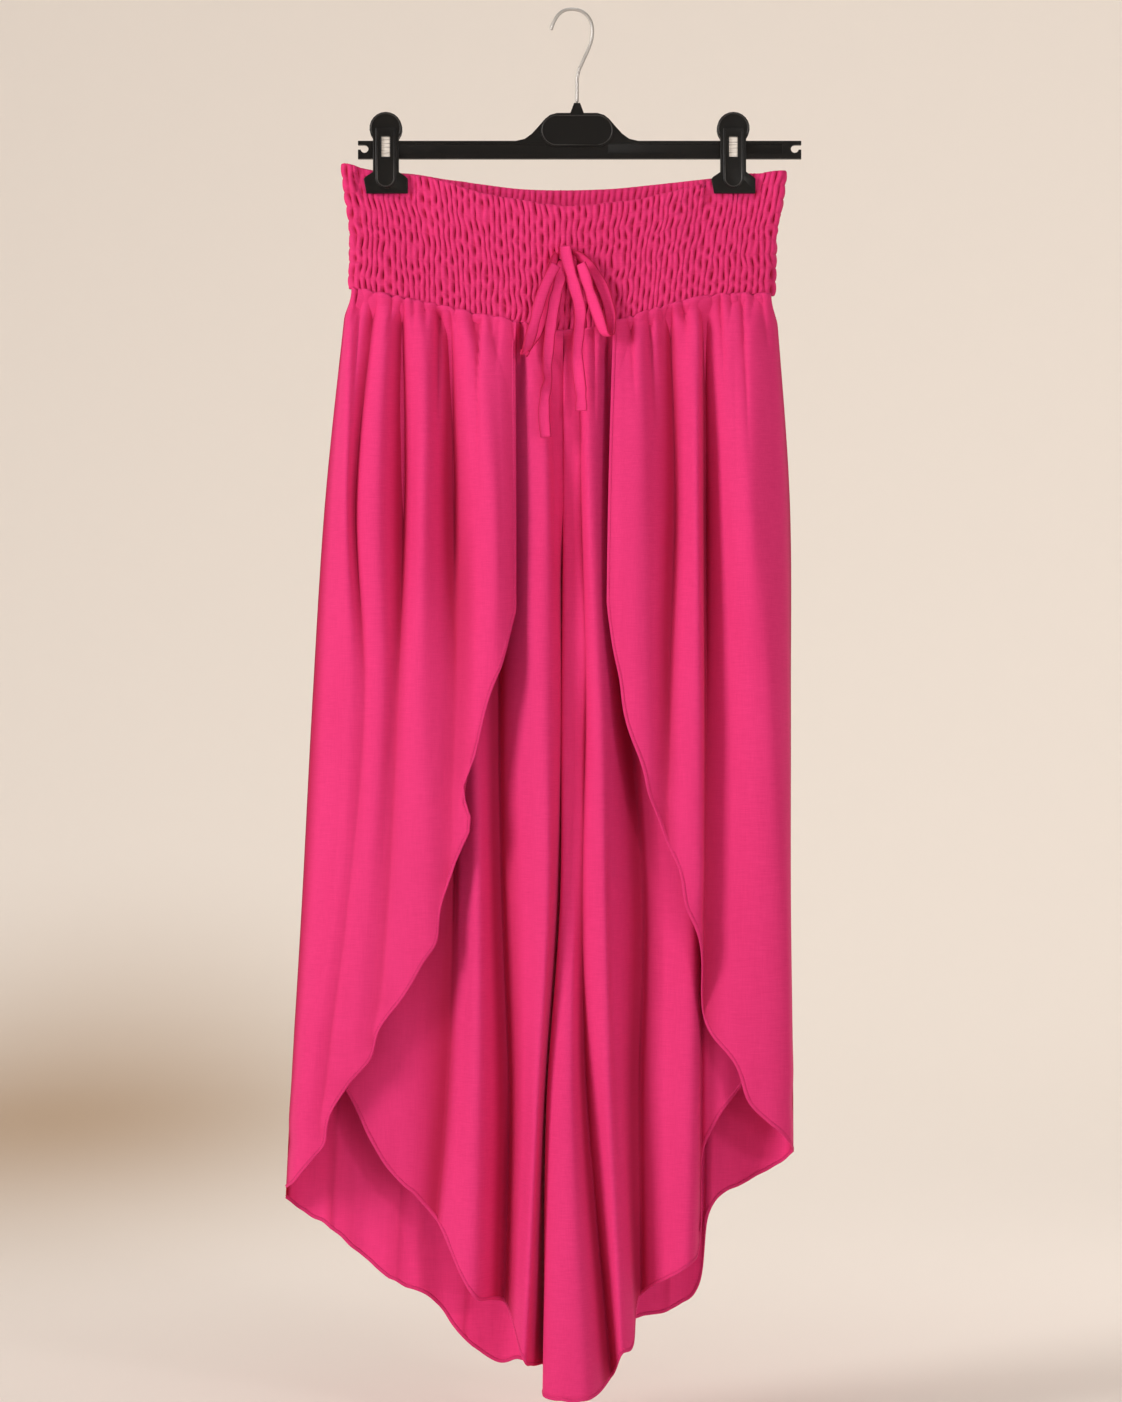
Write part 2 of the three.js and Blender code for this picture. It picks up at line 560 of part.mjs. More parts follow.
function manifoldOf(geometry) {
  const bare = geometry.clone();
  bare.deleteAttribute("normal");
  bare.deleteAttribute("uv");
  const merged = mergeVertices(bare, 1e-4);
  const mesh = new wasm.Mesh({
    numProp: 3,
    vertProperties: merged.attributes.position.array,
    triVerts: new Uint32Array(merged.index.array),
  });
  return new wasm.Manifold(mesh);
}

function geometryOf(solid) {
  const mesh = solid.getMesh();
  const positions = [];
  for (let i = 0; i < mesh.numVert; i++) {
    positions.push(...mesh.vertProperties.subarray(i * mesh.numProp, i * mesh.numProp + 3));
  }
  return solidGeometry(positions, Array.from(mesh.triVerts));
}

// An outline in X and Z given its depth along Y, from one y to another
function plate(shape, fromY, toY, curveSegments = 8) {
  const depth = toY - fromY;
  const geometry = new THREE.ExtrudeGeometry(shape, { depth, bevelEnabled: false, curveSegments });
  geometry.rotateX(Math.PI / 2);
  geometry.translate(0, toY, 0);
  return manifoldOf(geometry);
}

function boxShape(x0, z0, x1, z1) {
  const shape = new THREE.Shape();
  shape.moveTo(x0, z0);
  shape.lineTo(x1, z0);
  shape.lineTo(x1, z1);
  shape.lineTo(x0, z1);
  return shape;
}

function discShape(x, z, radius) {
  return new THREE.Shape().absarc(x, z, radius, 0, 2 * Math.PI);
}

// The bar's outline: straight, with a raised hub whose shoulders sweep down to it
function barShape() {
  const shape = new THREE.Shape();
  const shoulder = 21;
  const noseHalf = 2.6;
  shape.moveTo(BAR_LEFT_X, BAR_BOTTOM_Z);
  shape.lineTo(BAR_RIGHT_X, BAR_BOTTOM_Z);
  shape.lineTo(BAR_RIGHT_X, BAR_TOP_Z);
  shape.lineTo(HUB_X + HUB_HALF_WIDTH + shoulder, BAR_TOP_Z);
  shape.bezierCurveTo(
    HUB_X + HUB_HALF_WIDTH + 4, BAR_TOP_Z,
    HUB_X + HUB_HALF_WIDTH - 1, HUB_TOP_Z,
    HUB_X + HUB_HALF_WIDTH - 14, HUB_TOP_Z,
  );
  shape.lineTo(HUB_X + 3 * noseHalf - 2, HUB_TOP_Z);
  shape.lineTo(HUB_X + noseHalf, NOSE_TOP_Z);
  shape.lineTo(HUB_X - noseHalf, NOSE_TOP_Z);
  shape.lineTo(HUB_X - 3 * noseHalf + 2, HUB_TOP_Z);
  shape.lineTo(HUB_X - HUB_HALF_WIDTH + 14, HUB_TOP_Z);
  shape.bezierCurveTo(
    HUB_X - HUB_HALF_WIDTH + 1, HUB_TOP_Z,
    HUB_X - HUB_HALF_WIDTH - 4, BAR_TOP_Z,
    HUB_X - HUB_HALF_WIDTH - shoulder, BAR_TOP_Z,
  );
  shape.lineTo(BAR_LEFT_X, BAR_TOP_Z);
  return shape;
}

// The hub's raised oval plate
function hubShape() {
  const radius = (HUB_TOP_Z - HUB_BOTTOM_Z) / 2 - 1;
  const middle = (HUB_TOP_Z + HUB_BOTTOM_Z) / 2;
  const shape = new THREE.Shape();
  const reach = HUB_HALF_WIDTH - radius;
  shape.absarc(HUB_X + reach, middle, radius, -Math.PI / 2, Math.PI / 2);
  shape.absarc(HUB_X - reach, middle, radius, Math.PI / 2, (3 * Math.PI) / 2);
  return shape;
}

function barGeometry() {
  const deep = BAR_HALF_DEPTH + 1;
  let solid = plate(barShape(), -BAR_HALF_DEPTH, BAR_HALF_DEPTH, 6);
  const recess = { low: BAR_BOTTOM_Z + BAR_RIB + 2, high: BAR_TOP_Z - BAR_RIB };
  for (const [x0, x1] of [[BAR_LEFT_X + 16, HUB_X - 27], [HUB_X + 27, BAR_RIGHT_X - 16]]) {
    const window = boxShape(x0, recess.low, x1, recess.high);
    solid = solid.subtract(plate(window, -deep, -BAR_WEB));
    solid = solid.subtract(plate(window, BAR_WEB, deep));
  }
  solid = solid.add(plate(hubShape(), -HUB_HALF_DEPTH, HUB_HALF_DEPTH, 6));
  for (const [end, inwards] of [[BAR_LEFT_X, 1], [BAR_RIGHT_X, -1]]) {
    const notchX = end + inwards * 5.6;
    const notchZ = (BAR_TOP_Z + BAR_BOTTOM_Z) / 2 + 0.8;
    const mouth = boxShape(
      Math.min(end - inwards, notchX), notchZ - 0.6,
      Math.max(end - inwards, notchX), notchZ + NOTCH_RADIUS,
    );
    solid = solid.subtract(plate(discShape(notchX, notchZ, NOTCH_RADIUS), -deep, deep, 6));
    solid = solid.subtract(plate(mouth, -deep, deep));
  }
  return geometryOf(solid);
}

// One arm of a clip: a round press end, a neck with a window for the steel strip, and the jaw
function clipArmGeometry(x, facing) {
  const shape = new THREE.Shape();
  const lean = Math.asin(CLIP_NECK_HALF / CLIP_DISC_RADIUS);
  shape.absarc(x, CLIP_DISC_Z, CLIP_DISC_RADIUS, lean - Math.PI / 2, 1.5 * Math.PI - lean);
  shape.lineTo(x - CLIP_NECK_HALF, CLIP_SHOULDER_Z);
  shape.lineTo(x - JAW_HALF_WIDTH + 2, JAW_TOP_Z + 1);
  shape.lineTo(x - JAW_HALF_WIDTH, JAW_TOP_Z - 1);
  shape.lineTo(x - JAW_HALF_WIDTH + 2.5, JAW_BOTTOM_Z);
  shape.lineTo(x + JAW_HALF_WIDTH, JAW_BOTTOM_Z);
  shape.lineTo(x + JAW_HALF_WIDTH, JAW_TOP_Z - 1);
  shape.lineTo(x + JAW_HALF_WIDTH - 2, JAW_TOP_Z + 1);
  shape.lineTo(x + CLIP_NECK_HALF, CLIP_SHOULDER_Z);
  const tongue = new THREE.Shape();
  const tongueFoot = JAW_BOTTOM_Z + 4.5 + TONGUE_HALF;
  tongue.moveTo(x + TONGUE_HALF, CLIP_DISC_Z);
  tongue.lineTo(x - TONGUE_HALF, CLIP_DISC_Z);
  tongue.absarc(x, tongueFoot, TONGUE_HALF, Math.PI, 2 * Math.PI);
  const span = (near, far) => (facing < 0 ? [-far, -near] : [near, far]);
  const armOuter = ARM_INNER_Y + ARM_THICKNESS;
  const window = boxShape(x - WINDOW_HALF, WINDOW_BOTTOM_Z, x + WINDOW_HALF, WINDOW_TOP_Z);
  const solid = plate(shape, ...span(ARM_INNER_Y, armOuter))
    .add(plate(tongue, ...span(ARM_INNER_Y + 1, armOuter + TONGUE_RISE), 6))
    .subtract(plate(window, ...span(ARM_INNER_Y - 1, armOuter + TONGUE_RISE + 1)));
  return geometryOf(solid);
}

// The steel strip that goes over the bar and lies in both arms' windows
function clipStripGeometry(x) {
  const gap = 0.3;
  const reach = ARM_INNER_Y + ARM_THICKNESS - 0.4;
  const top = WINDOW_TOP_Z - gap;
  const foot = WINDOW_BOTTOM_Z + gap;
  const shape = new THREE.Shape();
  shape.moveTo(-reach, foot);
  shape.lineTo(-reach + STRIP, foot);
  shape.lineTo(-reach + STRIP, top - STRIP);
  shape.lineTo(reach - STRIP, top - STRIP);
  shape.lineTo(reach - STRIP, foot);
  shape.lineTo(reach, foot);
  shape.lineTo(reach, top);
  shape.lineTo(-reach, top);
  const depth = 2 * (WINDOW_HALF - gap);
  const geometry = new THREE.ExtrudeGeometry(shape, { depth, bevelEnabled: false });
  geometry.rotateX(Math.PI / 2);
  geometry.rotateZ(Math.PI / 2);
  geometry.translate(x - depth / 2, 0, 0);
  return geometryOf(manifoldOf(geometry));
}

function hookGeometry() {
  const curve = new THREE.CatmullRomCurve3(HOOK.map(({ x, z }) => new THREE.Vector3(x, 0, z)));
  const section = new THREE.Shape().absarc(0, 0, WIRE_RADIUS, 0, 2 * Math.PI);
  const options = { steps: 36, extrudePath: curve, curveSegments: 4, bevelEnabled: false };
  return geometryOf(manifoldOf(new THREE.ExtrudeGeometry(section, options)));
}

// The knot: a ball squared off a little, so that the strands meet it face to face
function knotGeometry() {
  const geometry = new THREE.SphereGeometry(1, 12, 8);
  const place = geometry.attributes.position;
  const squared = (value) => Math.sign(value) * Math.sqrt(Math.abs(value) < 1e-6 ? 0 : Math.abs(value));
  for (let i = 0; i < place.count; i++) {
    place.setXYZ(i, squared(place.getX(i)), squared(place.getY(i)), squared(place.getZ(i)));
  }
  geometry.scale(KNOT.halfWidth, KNOT.halfDepth, KNOT.halfHeight);
  return geometryOf(manifoldOf(geometry));
}

const finishes = {
  cloth: new THREE.MeshStandardMaterial({ color: COLORS.cloth, roughness: 0.75, metalness: 0 }),
  plastic: new THREE.MeshStandardMaterial({ color: COLORS.plastic, roughness: 0.4, metalness: 0 }),
  steel: new THREE.MeshStandardMaterial({ color: COLORS.steel, roughness: 0.2, metalness: 1 }),
};

const group = new THREE.Group();

function addPiece(name, geometry, finish) {
  const mesh = new THREE.Mesh(geometry, finishes[finish]);
  mesh.name = name;
  group.add(mesh);
  return mesh;
}

const PANELS = {
  wrap_right: { folds: WRAP_RIGHT, isFront: true, side: -1, lift: 0.95 },
  wrap_left: { folds: WRAP_LEFT, isFront: true, side: 1, lift: 0.95 },
  leg_front_right: { folds: FRONT_RIGHT, isFront: true, side: -1, lift: -0.95 },
  leg_front_left: { folds: FRONT_LEFT, isFront: true, side: 1, lift: -0.95 },
  leg_back_right: { folds: BACK_RIGHT, isFront: false, side: -1, lift: 0 },
  leg_back_left: { folds: BACK_LEFT, isFront: false, side: 1, lift: 0 },
};

addPiece("waistband", waistbandGeometry(), "cloth");
for (const [name, panel] of Object.entries(PANELS)) {
  addPiece(name, panelGeometry(panel), "cloth");
}
addPiece("drawstring_knot", knotGeometry(), "cloth").position.set(KNOT.x, KNOT.y, KNOT.z);
for (const [name, points] of Object.entries(STRANDS)) {
  addPiece(name, ribbonGeometry(points), "cloth");
}
addPiece("hanger_hook", hookGeometry(), "steel");
addPiece("hanger_bar", barGeometry(), "plastic");
for (const [side, x] of Object.entries(CLIP_XS)) {
  addPiece("clip_front_" + side, clipArmGeometry(x, -1), "plastic");
  addPiece("clip_back_" + side, clipArmGeometry(x, 1), "plastic");
  addPiece("clip_strip_" + side, clipStripGeometry(x), "steel");
}

export default group;
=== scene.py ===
"""Wide-leg pants with petal wraps and a smocked waistband, clipped to a trouser hanger.

Every cloth piece is a thin shell on its solid's form, worked out from the same fold lines as the
solid, with finer gathers, creases and rolled hems. Lengths in the tables are in millimetres, as on
the pants, and MM turns them into metres. Left and right are the wearer's: left is +X.
"""

import math

import bmesh
import bpy
import numpy as np
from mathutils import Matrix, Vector


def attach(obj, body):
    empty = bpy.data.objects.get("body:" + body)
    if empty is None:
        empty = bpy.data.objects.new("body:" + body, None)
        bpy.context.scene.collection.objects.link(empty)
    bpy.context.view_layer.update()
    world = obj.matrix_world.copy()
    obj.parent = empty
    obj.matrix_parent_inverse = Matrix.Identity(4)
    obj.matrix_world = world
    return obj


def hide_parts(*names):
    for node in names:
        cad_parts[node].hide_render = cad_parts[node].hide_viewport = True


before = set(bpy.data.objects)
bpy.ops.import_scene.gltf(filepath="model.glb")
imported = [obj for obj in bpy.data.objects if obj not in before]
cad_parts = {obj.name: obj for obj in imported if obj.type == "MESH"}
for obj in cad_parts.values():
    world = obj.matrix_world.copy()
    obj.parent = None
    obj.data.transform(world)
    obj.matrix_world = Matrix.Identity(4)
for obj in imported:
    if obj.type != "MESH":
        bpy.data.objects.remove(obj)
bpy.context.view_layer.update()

MM = 0.001

# Camera: the photo's square-on view, with its frame 1206 mm high where the pants hang
VIEW_CENTRE = Vector((-0.0095, 0.0, -0.5934))
VIEW_DISTANCE = 3.6
VIEW_HEIGHT = 1.2057
SENSOR = 36.0

# Each light: its place, what it faces, its size in metres, its power and its spread in degrees
PANTS_MIDDLE = (0.0, 0.0, -0.6)
LIGHT_COLOR = (1.0, 0.98, 0.97)
WALL_LIGHT_COLOR = (1.0, 0.97, 0.94)
LIGHTS = {
    "key": ((-3.9, -2.5, 0.8), PANTS_MIDDLE, (1.2, 2.2), 140, 180),
    "fill": ((2.4, -4.2, 0.5), PANTS_MIDDLE, (0.6, 0.6), 36, 180),
    "top": ((0.3, -1.7, 2.2), PANTS_MIDDLE, (1.4, 0.8), 8, 180),
    "low": ((1.6, -3.4, -1.0), PANTS_MIDDLE, (0.9, 0.5), 9, 180),
    "floor": ((1.5, 0.7, 0.1), (0.6, 0.9, -1.23), (0.8, 0.8), 1.1, 80),
    "wall": ((0.8, 2.2, 3.9), (0.5, 5.8, -0.6), (4.0, 2.0), 185, 180),
}

# Cloth
FUCHSIA = (0.74, 0.031, 0.175)
WORN = (0.84, 0.044, 0.22)
# Painted shade: the deep red that the cloth's colour turns to in its folds and hollows
PAINTED_SHADE_COLOR = (0.35, 0.0015, 0.02)
SHELL = 0.6  # thickness of the shell
BAND_SHELL = 1.0
SEAM_GAP = 0.3
PUFF_OUT = 26
ROW_CROWDING = 1.2
CROTCH_Z = -506
RISE_START_Z = -420
INSEAM_Y = 4
RISE_GAP = 0.0
SEAM_LAP = 0.4
LEG_GAP = 1.7
EDGE_GAP = 0.15
COLUMNS_PER_FOLD = 13
PANEL_ROWS = 190
SEAM_SCALE = 0.975  # a panel's width where it is sewn in, against its width at the first station

# Gathers under the waist seam, and the clefts between hanging folds
PUCKER_PITCH = 15.5
PUCKER_DEPTH = 5.0
PUCKER_LENGTH = 19
SEAM_PUFF = 4.0
SEAM_LAP_UP = 3.2
CLEFT_DEPTH = 10
CLEFT_SLOPE = 13  # how far the cloth slopes into a cleft, and how abruptly it comes out
CLEFT_RETURN = 2.2

# Where a panel's folds start to calm down, over what drop, and by how much in the end
CALM = {
    "wrap_right": (-380, 230, 0.6),
    "wrap_left": (-430, 300, 0.5),
    "leg_back_right": (-640, 300, 0.85),
    "leg_back_left": (-640, 300, 0.85),
}
CALM_REACH = 13  # columns over which a calm row is evened out

# Painted shade in a panel's hollows, darkening its colour: columns across, depth of a full one, and its
# share
PAINTED_SHADE_HOLLOWS = ((6, 3.0, 0.75), (16, 8.0, 0.8))

# Smocking
GATHER_PITCH = 4.9
GATHER_HEIGHT = 3.9
GATHER_PHASES = (0.0, 0.16, 0.5, 0.84)  # columns of one gather, from its cleft
ELASTIC_ROWS = 9
BAND_ROWS = 108
INNER_ROW_STEP = 6  # the plain inside needs fewer rows
PINCH_DEPTH = 2.0

# Hems and stitches
HEM_WIDTH = 3.0
HEM_THICKNESS = 1.3
STITCH_SPACING = 3.2
STITCH_SIZE = (2.2, 0.4, 0.35)
STITCH_INSET = 0.8

# Drawstring
STRING_WIDTH = 10.5
STRING_THICKNESS = 1.2
STRING_DISH = 0.55
KNOT = {"x": -6, "y": -18, "z": -210, "half": (5.5, 3.4, 7)}

# Hanger
WIRE_RADIUS = 1.5
HUB_X = 4.3
NOSE_TOP_Z = -79.4
HUB_Z = -103
HUB_RADIUS = 14
HUB_HALF_WIDTH = 31.5
HUB_FACE_Y = -4.2
DISC_Z = -101.5
DISC_RADIUS = 14
ARM_FACE_Y = -6.3
TONGUE_HALF = 8.5
TONGUE_TOP_Z = -104.5
TONGUE_FOOT_Z = -144.5
TONGUE_FACE_Y = -8.0
BEAD_INSET = 1.4
BEAD_RADIUS = 0.45
JAW_HALF_WIDTH = 19
CLIP_XS = {"right": -160, "left": 138.5}

# The waistband from the wearer's right to left: heights of its edges, and half depths
BAND_COLUMN_NAMES = ("x", "front_top", "back_top", "front_seam", "back_seam", "top", "seam")
BAND = np.array([
    (-195, -132, -132, -238, -238, 7, 13),
    (-166, -138, -138, -244, -242, 4, 13),
    (-138, -141, -140, -250, -245, 5, 13),
    (-110, -147, -144, -256, -248, 7, 13),
    (-79, -157, -148, -263, -251, 9, 14),
    (-45, -164, -152, -269, -253, 10, 14),
    (-8, -169, -153, -277, -254, 11, 14),
    (33, -166, -152, -270, -253, 10, 14),
    (67, -161, -149, -259, -250, 8, 13),
    (110, -149, -145, -248, -247, 5, 13),
    (138, -142, -142, -245, -245, 4, 13),
    (181, -138, -138, -245, -245, 7, 13),
], dtype=float)

# The waistband's two ends at fractions of its height
END_COLUMN_NAMES = ("height", "right", "left")
BAND_ENDS = np.array([
    (0, -195, 181),
    (0.25, -192, 178),
    (0.5, -188, 173),
    (1, -189, 171),
], dtype=float)

# Each fold line of a panel: its name, its x and its y at the six heights of STATIONS, its hem end
STATIONS = (-248, -420, -592, -764, -936, -1108)
LEG_LINE_X = (-7.7, -6.9, -3.4, -6, -18, -20.5)

WRAP_RIGHT = [
    ("side", (-194, -212, -223, -232, -242, -250), (0, 0, 0, 0, 0, 0), -1012),
    ("ridge", (-189, -195, -194, -205, -229, -241), (-12, -26, -30, -28, -25, -24), -1001),
    ("valley", (-169, -185, -177, -191, -212, -225), (-10, -20, -24, -25, -24, -22), -974),
    ("ridge", (-158, -165, -162, -174, -193, -208), (-16, -30, -35, -34, -31, -30), -922),
    ("valley", (-146, -144, -149, -157, -172, -186), (-9, -16, -22, -29, -31, -31), -885),
    ("ridge", (-124, -126, -127, -125, -139, -152), (-18, -36, -42, -40, -37, -36), -818),
    ("valley", (-105, -101, -100, -107, -119, -131), (-10, -18, -26, -34, -36, -36), -762),
    ("ridge", (-90, -72, -75, -84, -95, -105), (-17, -40, -46, -42, -42, -42), -610),
    ("roll", (-65, -59, -59, -59, -59, -59), (-15, -37, -42, -42, -42, -42), -560),
    ("edge", (-49, -48, -48, -48, -48, -48), (-13, -30, -34, -34, -34, -34), -516),
]

WRAP_LEFT = [
    ("edge", (36, 31, 29, 29, 29, 29), (-13, -34, -37, -37, -37, -37), -512),
    ("roll", (45, 43, 43, 43, 43, 43), (-15, -39, -43, -43, -43, -43), -600),
    ("ridge", (57, 62, 63, 64, 64, 64), (-18, -42, -48, -48, -48, -48), -659),
    ("valley", (84, 88, 83, 81, 81, 81), (-10, -26, -34, -38, -38, -38), -719),
    ("ridge", (107, 107, 108, 108, 107, 107), (-18, -42, -50, -51, -51, -51), -796),
    ("valley", (114, 115, 115, 114, 111, 111), (-8, -16, -20, -24, -26, -26), -862),
    ("slope", (127, 129, 132, 134, 133, 134), (-12, -27, -31, -34, -36, -36), -898),
    ("slope", (137, 140, 151, 158, 157, 157), (-15, -36, -42, -42, -40, -40), -941),
    ("ridge", (148, 154, 169, 179, 182, 182), (-16, -40, -42, -38, -34, -32), -966),
    ("roll", (168, 178, 183, 186, 188, 188), (-9, -22, -24, -22, -20, -18), -976),
    ("side", (175, 187, 188, 188, 190, 190), (0, 0, 0, 0, 0, 0), -981),
]

FRONT_RIGHT = [
    ("side", (-188, -204, -213, -221, -228, -236), (-2, -3, -4, -4, -4, -4), -892),
    ("flat", (-169, -178, -182, -189, -195, -201), (-4, -8, -10, -12, -12, -12), -927),
    ("flat", (-146, -148, -150, -155, -158, -162), (-3, -7, -9, -10, -12, -12), -992),
    ("valley", (-113, -105, -101, -101, -107, -122), (-4, -9, -11, -12, -14, -14), -1040),
    ("ridge", (-94, -88, -82, -79, -80, -85), (-5, -14, -20, -28, -32, -34), -1100),
    ("valley", (-62, -59, -62, -60, -54, -58), (-4, -8, -10, -10, -10, -10), -1110),
    ("ridge", (-33, -25, -27, -25, -32, -40), (-12, -30, -36, -40, -42, -44), -1152),
    ("roll", (-18, -15, -13, -16, -25, -32), (-10, -20, -26, -28, -28, -28), -1160),
    ("centre", LEG_LINE_X, (0, 0, 0, 0, 0, 0), -1163),
]

FRONT_LEFT = [
    ("centre", LEG_LINE_X, (0, 0, 0, 0, 0, 0), -1178),
    ("lip", (-6, -7, -9, -10, -21, -22.5), (-12, -15, -19, -24, -32, -40), -1184),
    ("cone", (1, 2, 3, 0, -1, 8), (-11, -20, -25, -28, -46, -54), -1186),
    ("valley", (6, 8, 12, 9, 13, 28), (-10, -24, -30, -30, -26, -26), -1172),
    ("ridge", (14, 15, 23, 26, 31, 40), (-12, -30, -36, -39, -39, -41), -1150),
    ("edge", (27, 27, 34, 35, 40, 50), (-9, -24, -28, -30, -30, -32), -1144),
    ("valley", (46, 46, 50, 61, 58, 60), (-4, -8, -10, -10, -10, -10), -1104),
    ("ridge", (82, 88, 95, 102, 102, 96), (-5, -12, -18, -26, -28, -30), -1078),
    ("tuck", (93, 102, 107, 110, 111, 109), (-4, -9, -12, -15, -15, -16), -1058),
    ("flat", (104, 111, 113, 114, 114, 112.5), (-4, -7, -9, -11, -11.5, -12.5), -975),
    ("flat", (140, 149, 151, 151, 151, 151), (-4, -7, -8, -8, -8, -8), -918),
    ("side", (169, 180, 181, 181, 183, 183), (-2, -3, -4, -4, -4, -4), -889),
]

BACK_RIGHT = [
    ("side", (-194, -212, -223, -232, -242, -250), (0, 0, 0, 0, 0, 0), -1021),
    ("ridge", (-188, -200, -206, -216, -226, -236), (12, 24, 28, 28, 26, 24), -1035),
    ("valley", (-170, -176, -180, -190, -202, -212), (8, 14, 16, 16, 16, 14), -1049),
    ("ridge", (-148, -154, -156, -164, -174, -184), (15, 32, 38, 35, 29, 25), -1073),
    ("valley", (-124, -126, -130, -136, -144, -152), (8, 16, 20, 22, 23, 22), -1097),
    ("ridge", (-98, -98, -98, -104, -112, -122), (16, 36, 44, 41, 34, 30), -1111),
    ("valley", (-72, -70, -70, -76, -82, -92), (8, 18, 22, 26, 28, 28), -1145),
    ("ridge", (-44, -42, -40, -44, -52, -62), (15, 34, 44, 42, 37, 34), -1166),
    ("roll", (-22, -20, -16, -20, -31, -42), (9, 18, 22, 22, 24, 24), -1163),
    ("centre", LEG_LINE_X, (0, 0, 0, 0, 0, 0), -1165),
]

BACK_LEFT = [
    ("centre", LEG_LINE_X, (0, 0, 0, 0, 0, 0), -1165),
    ("ridge", (10, 12, 14, 14, 6, 0), (14, 30, 42, 42, 36, 32), -1150),
    ("valley", (32, 32, 35, 35, 32, 30), (8, 16, 20, 24, 26, 26), -1136),
    ("ridge", (56, 56, 59, 60, 60, 58), (16, 36, 46, 44, 38, 34), -1127),
    ("valley", (81, 82, 84, 86, 86, 84), (8, 17, 22, 26, 29, 30), -1122),
    ("ridge", (104, 106, 108, 110, 112, 110), (16, 38, 46, 44, 38, 34), -1100),
    ("valley", (124, 128, 128, 128, 122, 118), (8, 16, 20, 22, 24, 24), -1034),
    ("ridge", (146, 150, 152, 152, 150, 146), (14, 32, 36, 33, 29, 26), -1011),
    ("roll", (166, 174, 177, 177, 178, 178), (10, 18, 20, 20, 18, 16), -994),
    ("side", (175, 187, 188, 188, 190, 190), (0, 0, 0, 0, 0, 0), -981),
]

# Panels: flat is the cut's width and length in metres, and area its cloth in square metres
PANELS = {
    "wrap_right": dict(folds=WRAP_RIGHT, side=-1, lift=0.95, seed=11, flat=(0.30, 0.79), area=0.155),
    "wrap_left": dict(folds=WRAP_LEFT, side=1, lift=0.95, seed=23, flat=(0.30, 0.76), area=0.155),
    "leg_front_right": dict(folds=FRONT_RIGHT, side=-1, lift=-0.95, seed=37, flat=(0.30, 0.93), area=0.22),
    "leg_front_left": dict(folds=FRONT_LEFT, side=1, lift=-0.95, seed=41, flat=(0.30, 0.95), area=0.23),
    "leg_back_right": dict(folds=BACK_RIGHT, side=-1, lift=0, seed=53, flat=(0.33, 0.94), area=0.26),
    "leg_back_left": dict(folds=BACK_LEFT, side=1, lift=0, seed=67, flat=(0.33, 0.93), area=0.25),
}
for panel_name, panel in PANELS.items():
    panel["front"] = "back" not in panel_name

# Waves along the wraps' free edges: height, sideways swing, and the height over which it dies away
EDGE_WAVES = {
    "wrap_right": ((-668, -6, 18), (-700, 8, 22), (-765, -3, 18), (-800, 3, 14), (-870, -4, 16),
                   (-900, 4, 14), (-945, -3, 14), (-972, 3, 10)),
    "wrap_left": ((-575, 2, 20), (-672, -3, 18), (-735, 3, 16), (-770, -3, 14), (-905, 3, 14),
                  (-935, -3, 12)),
}

# Short creases from the waist seam: x at the seam, x at their end, length and depth
SEAM_CREASES = {
    "wrap_right": ((-181, -190, 130, 5), (-114, -116, 150, 8), (-79, -84, 190, 7), (-62, -66, 60, 3)),
    "wrap_left": ((50, 55, 90, 6), (66, 74, 130, 6), (97, 98, 70, 5), (127, 131, 90, 6),
                  (146, 152, 170, 6), (162, 170, 60, 4)),
    "leg_front_right": ((-42, -47, 120, 5), (-22, -21, 80, 4), (-150, -160, 200, 5)),
    "leg_front_left": ((19, 20, 100, 5), (30, 32, 160, 5), (130, 140, 200, 5)),
    "leg_back_right": ((-180, -188, 140, 5), (-136, -142, 120, 6), (-110, -113, 170, 6),
                       (-84, -84, 90, 5), (-57, -57, 150, 6), (-30, -30, 110, 5)),
    "leg_back_left": ((22, 22, 130, 5), (44, 46, 150, 6), (68, 70, 90, 5), (93, 95, 170, 6),
                      (113, 116, 110, 5), (136, 141, 150, 6), (158, 164, 120, 5)),
}

# The drawstring's strands, from the knot outwards: x, y, z and how far the ribbon is turned
STRANDS = {
    "drawstring_loop_right": [
        (-13.1, -19.2, -210, 70), (-16, -19.5, -220, 35), (-19, -20.3, -236, 15),
        (-23, -21.3, -256, 10), (-30, -23, -277, 15), (-38, -25.5, -291, 45),
        (-40.5, -29, -296, 70), (-37.5, -31.5, -289, 40), (-32.5, -31.5, -272, 20),
        (-28, -30.5, -254, 15), (-21.5, -29, -236, 15), (-14, -26.5, -221, 20),
    ],
    "drawstring_loop_left": [
        (0.9, -19, -209, -70), (7, -19.5, -213.5, -40), (17, -20.3, -224, -22),
        (26.5, -21.5, -241, -18), (32.5, -23.5, -262, -25), (33, -27.5, -279.5, -50),
        (27.5, -30, -279, -35), (21.5, -29.5, -263, -20), (15.5, -28.5, -245, -20),
        (11, -27, -230, -20), (7.5, -25.5, -220, -30),
    ],
    "drawstring_tail_right": [
        (-6.6, -18.6, -217.6, 0), (-8.5, -20.5, -224, 10), (-11.5, -24.5, -238, 15),
        (-15, -25.5, -252, 15), (-17.8, -25.5, -270, 10), (-19.8, -26.5, -289, 15),
        (-21.3, -28.5, -309, 30), (-20.8, -30, -320, 50), (-23.2, -31.5, -333, 20),
        (-24, -33, -350, 10), (-22.5, -34, -368.5, 8),
    ],
    "drawstring_tail_left": [
        (-6, -22.3, -205, 0), (-4.8, -22.7, -213, -4), (-2, -24.7, -224, -8),
        (2.5, -26.5, -241, -10), (6.8, -27.5, -259, 0), (6, -28.5, -277, 15),
        (4.3, -30.5, -297, 10), (6, -32.5, -317, -15), (7.6, -34, -332, -5),
        (7.8, -35.5, -346, 0),
    ],
}

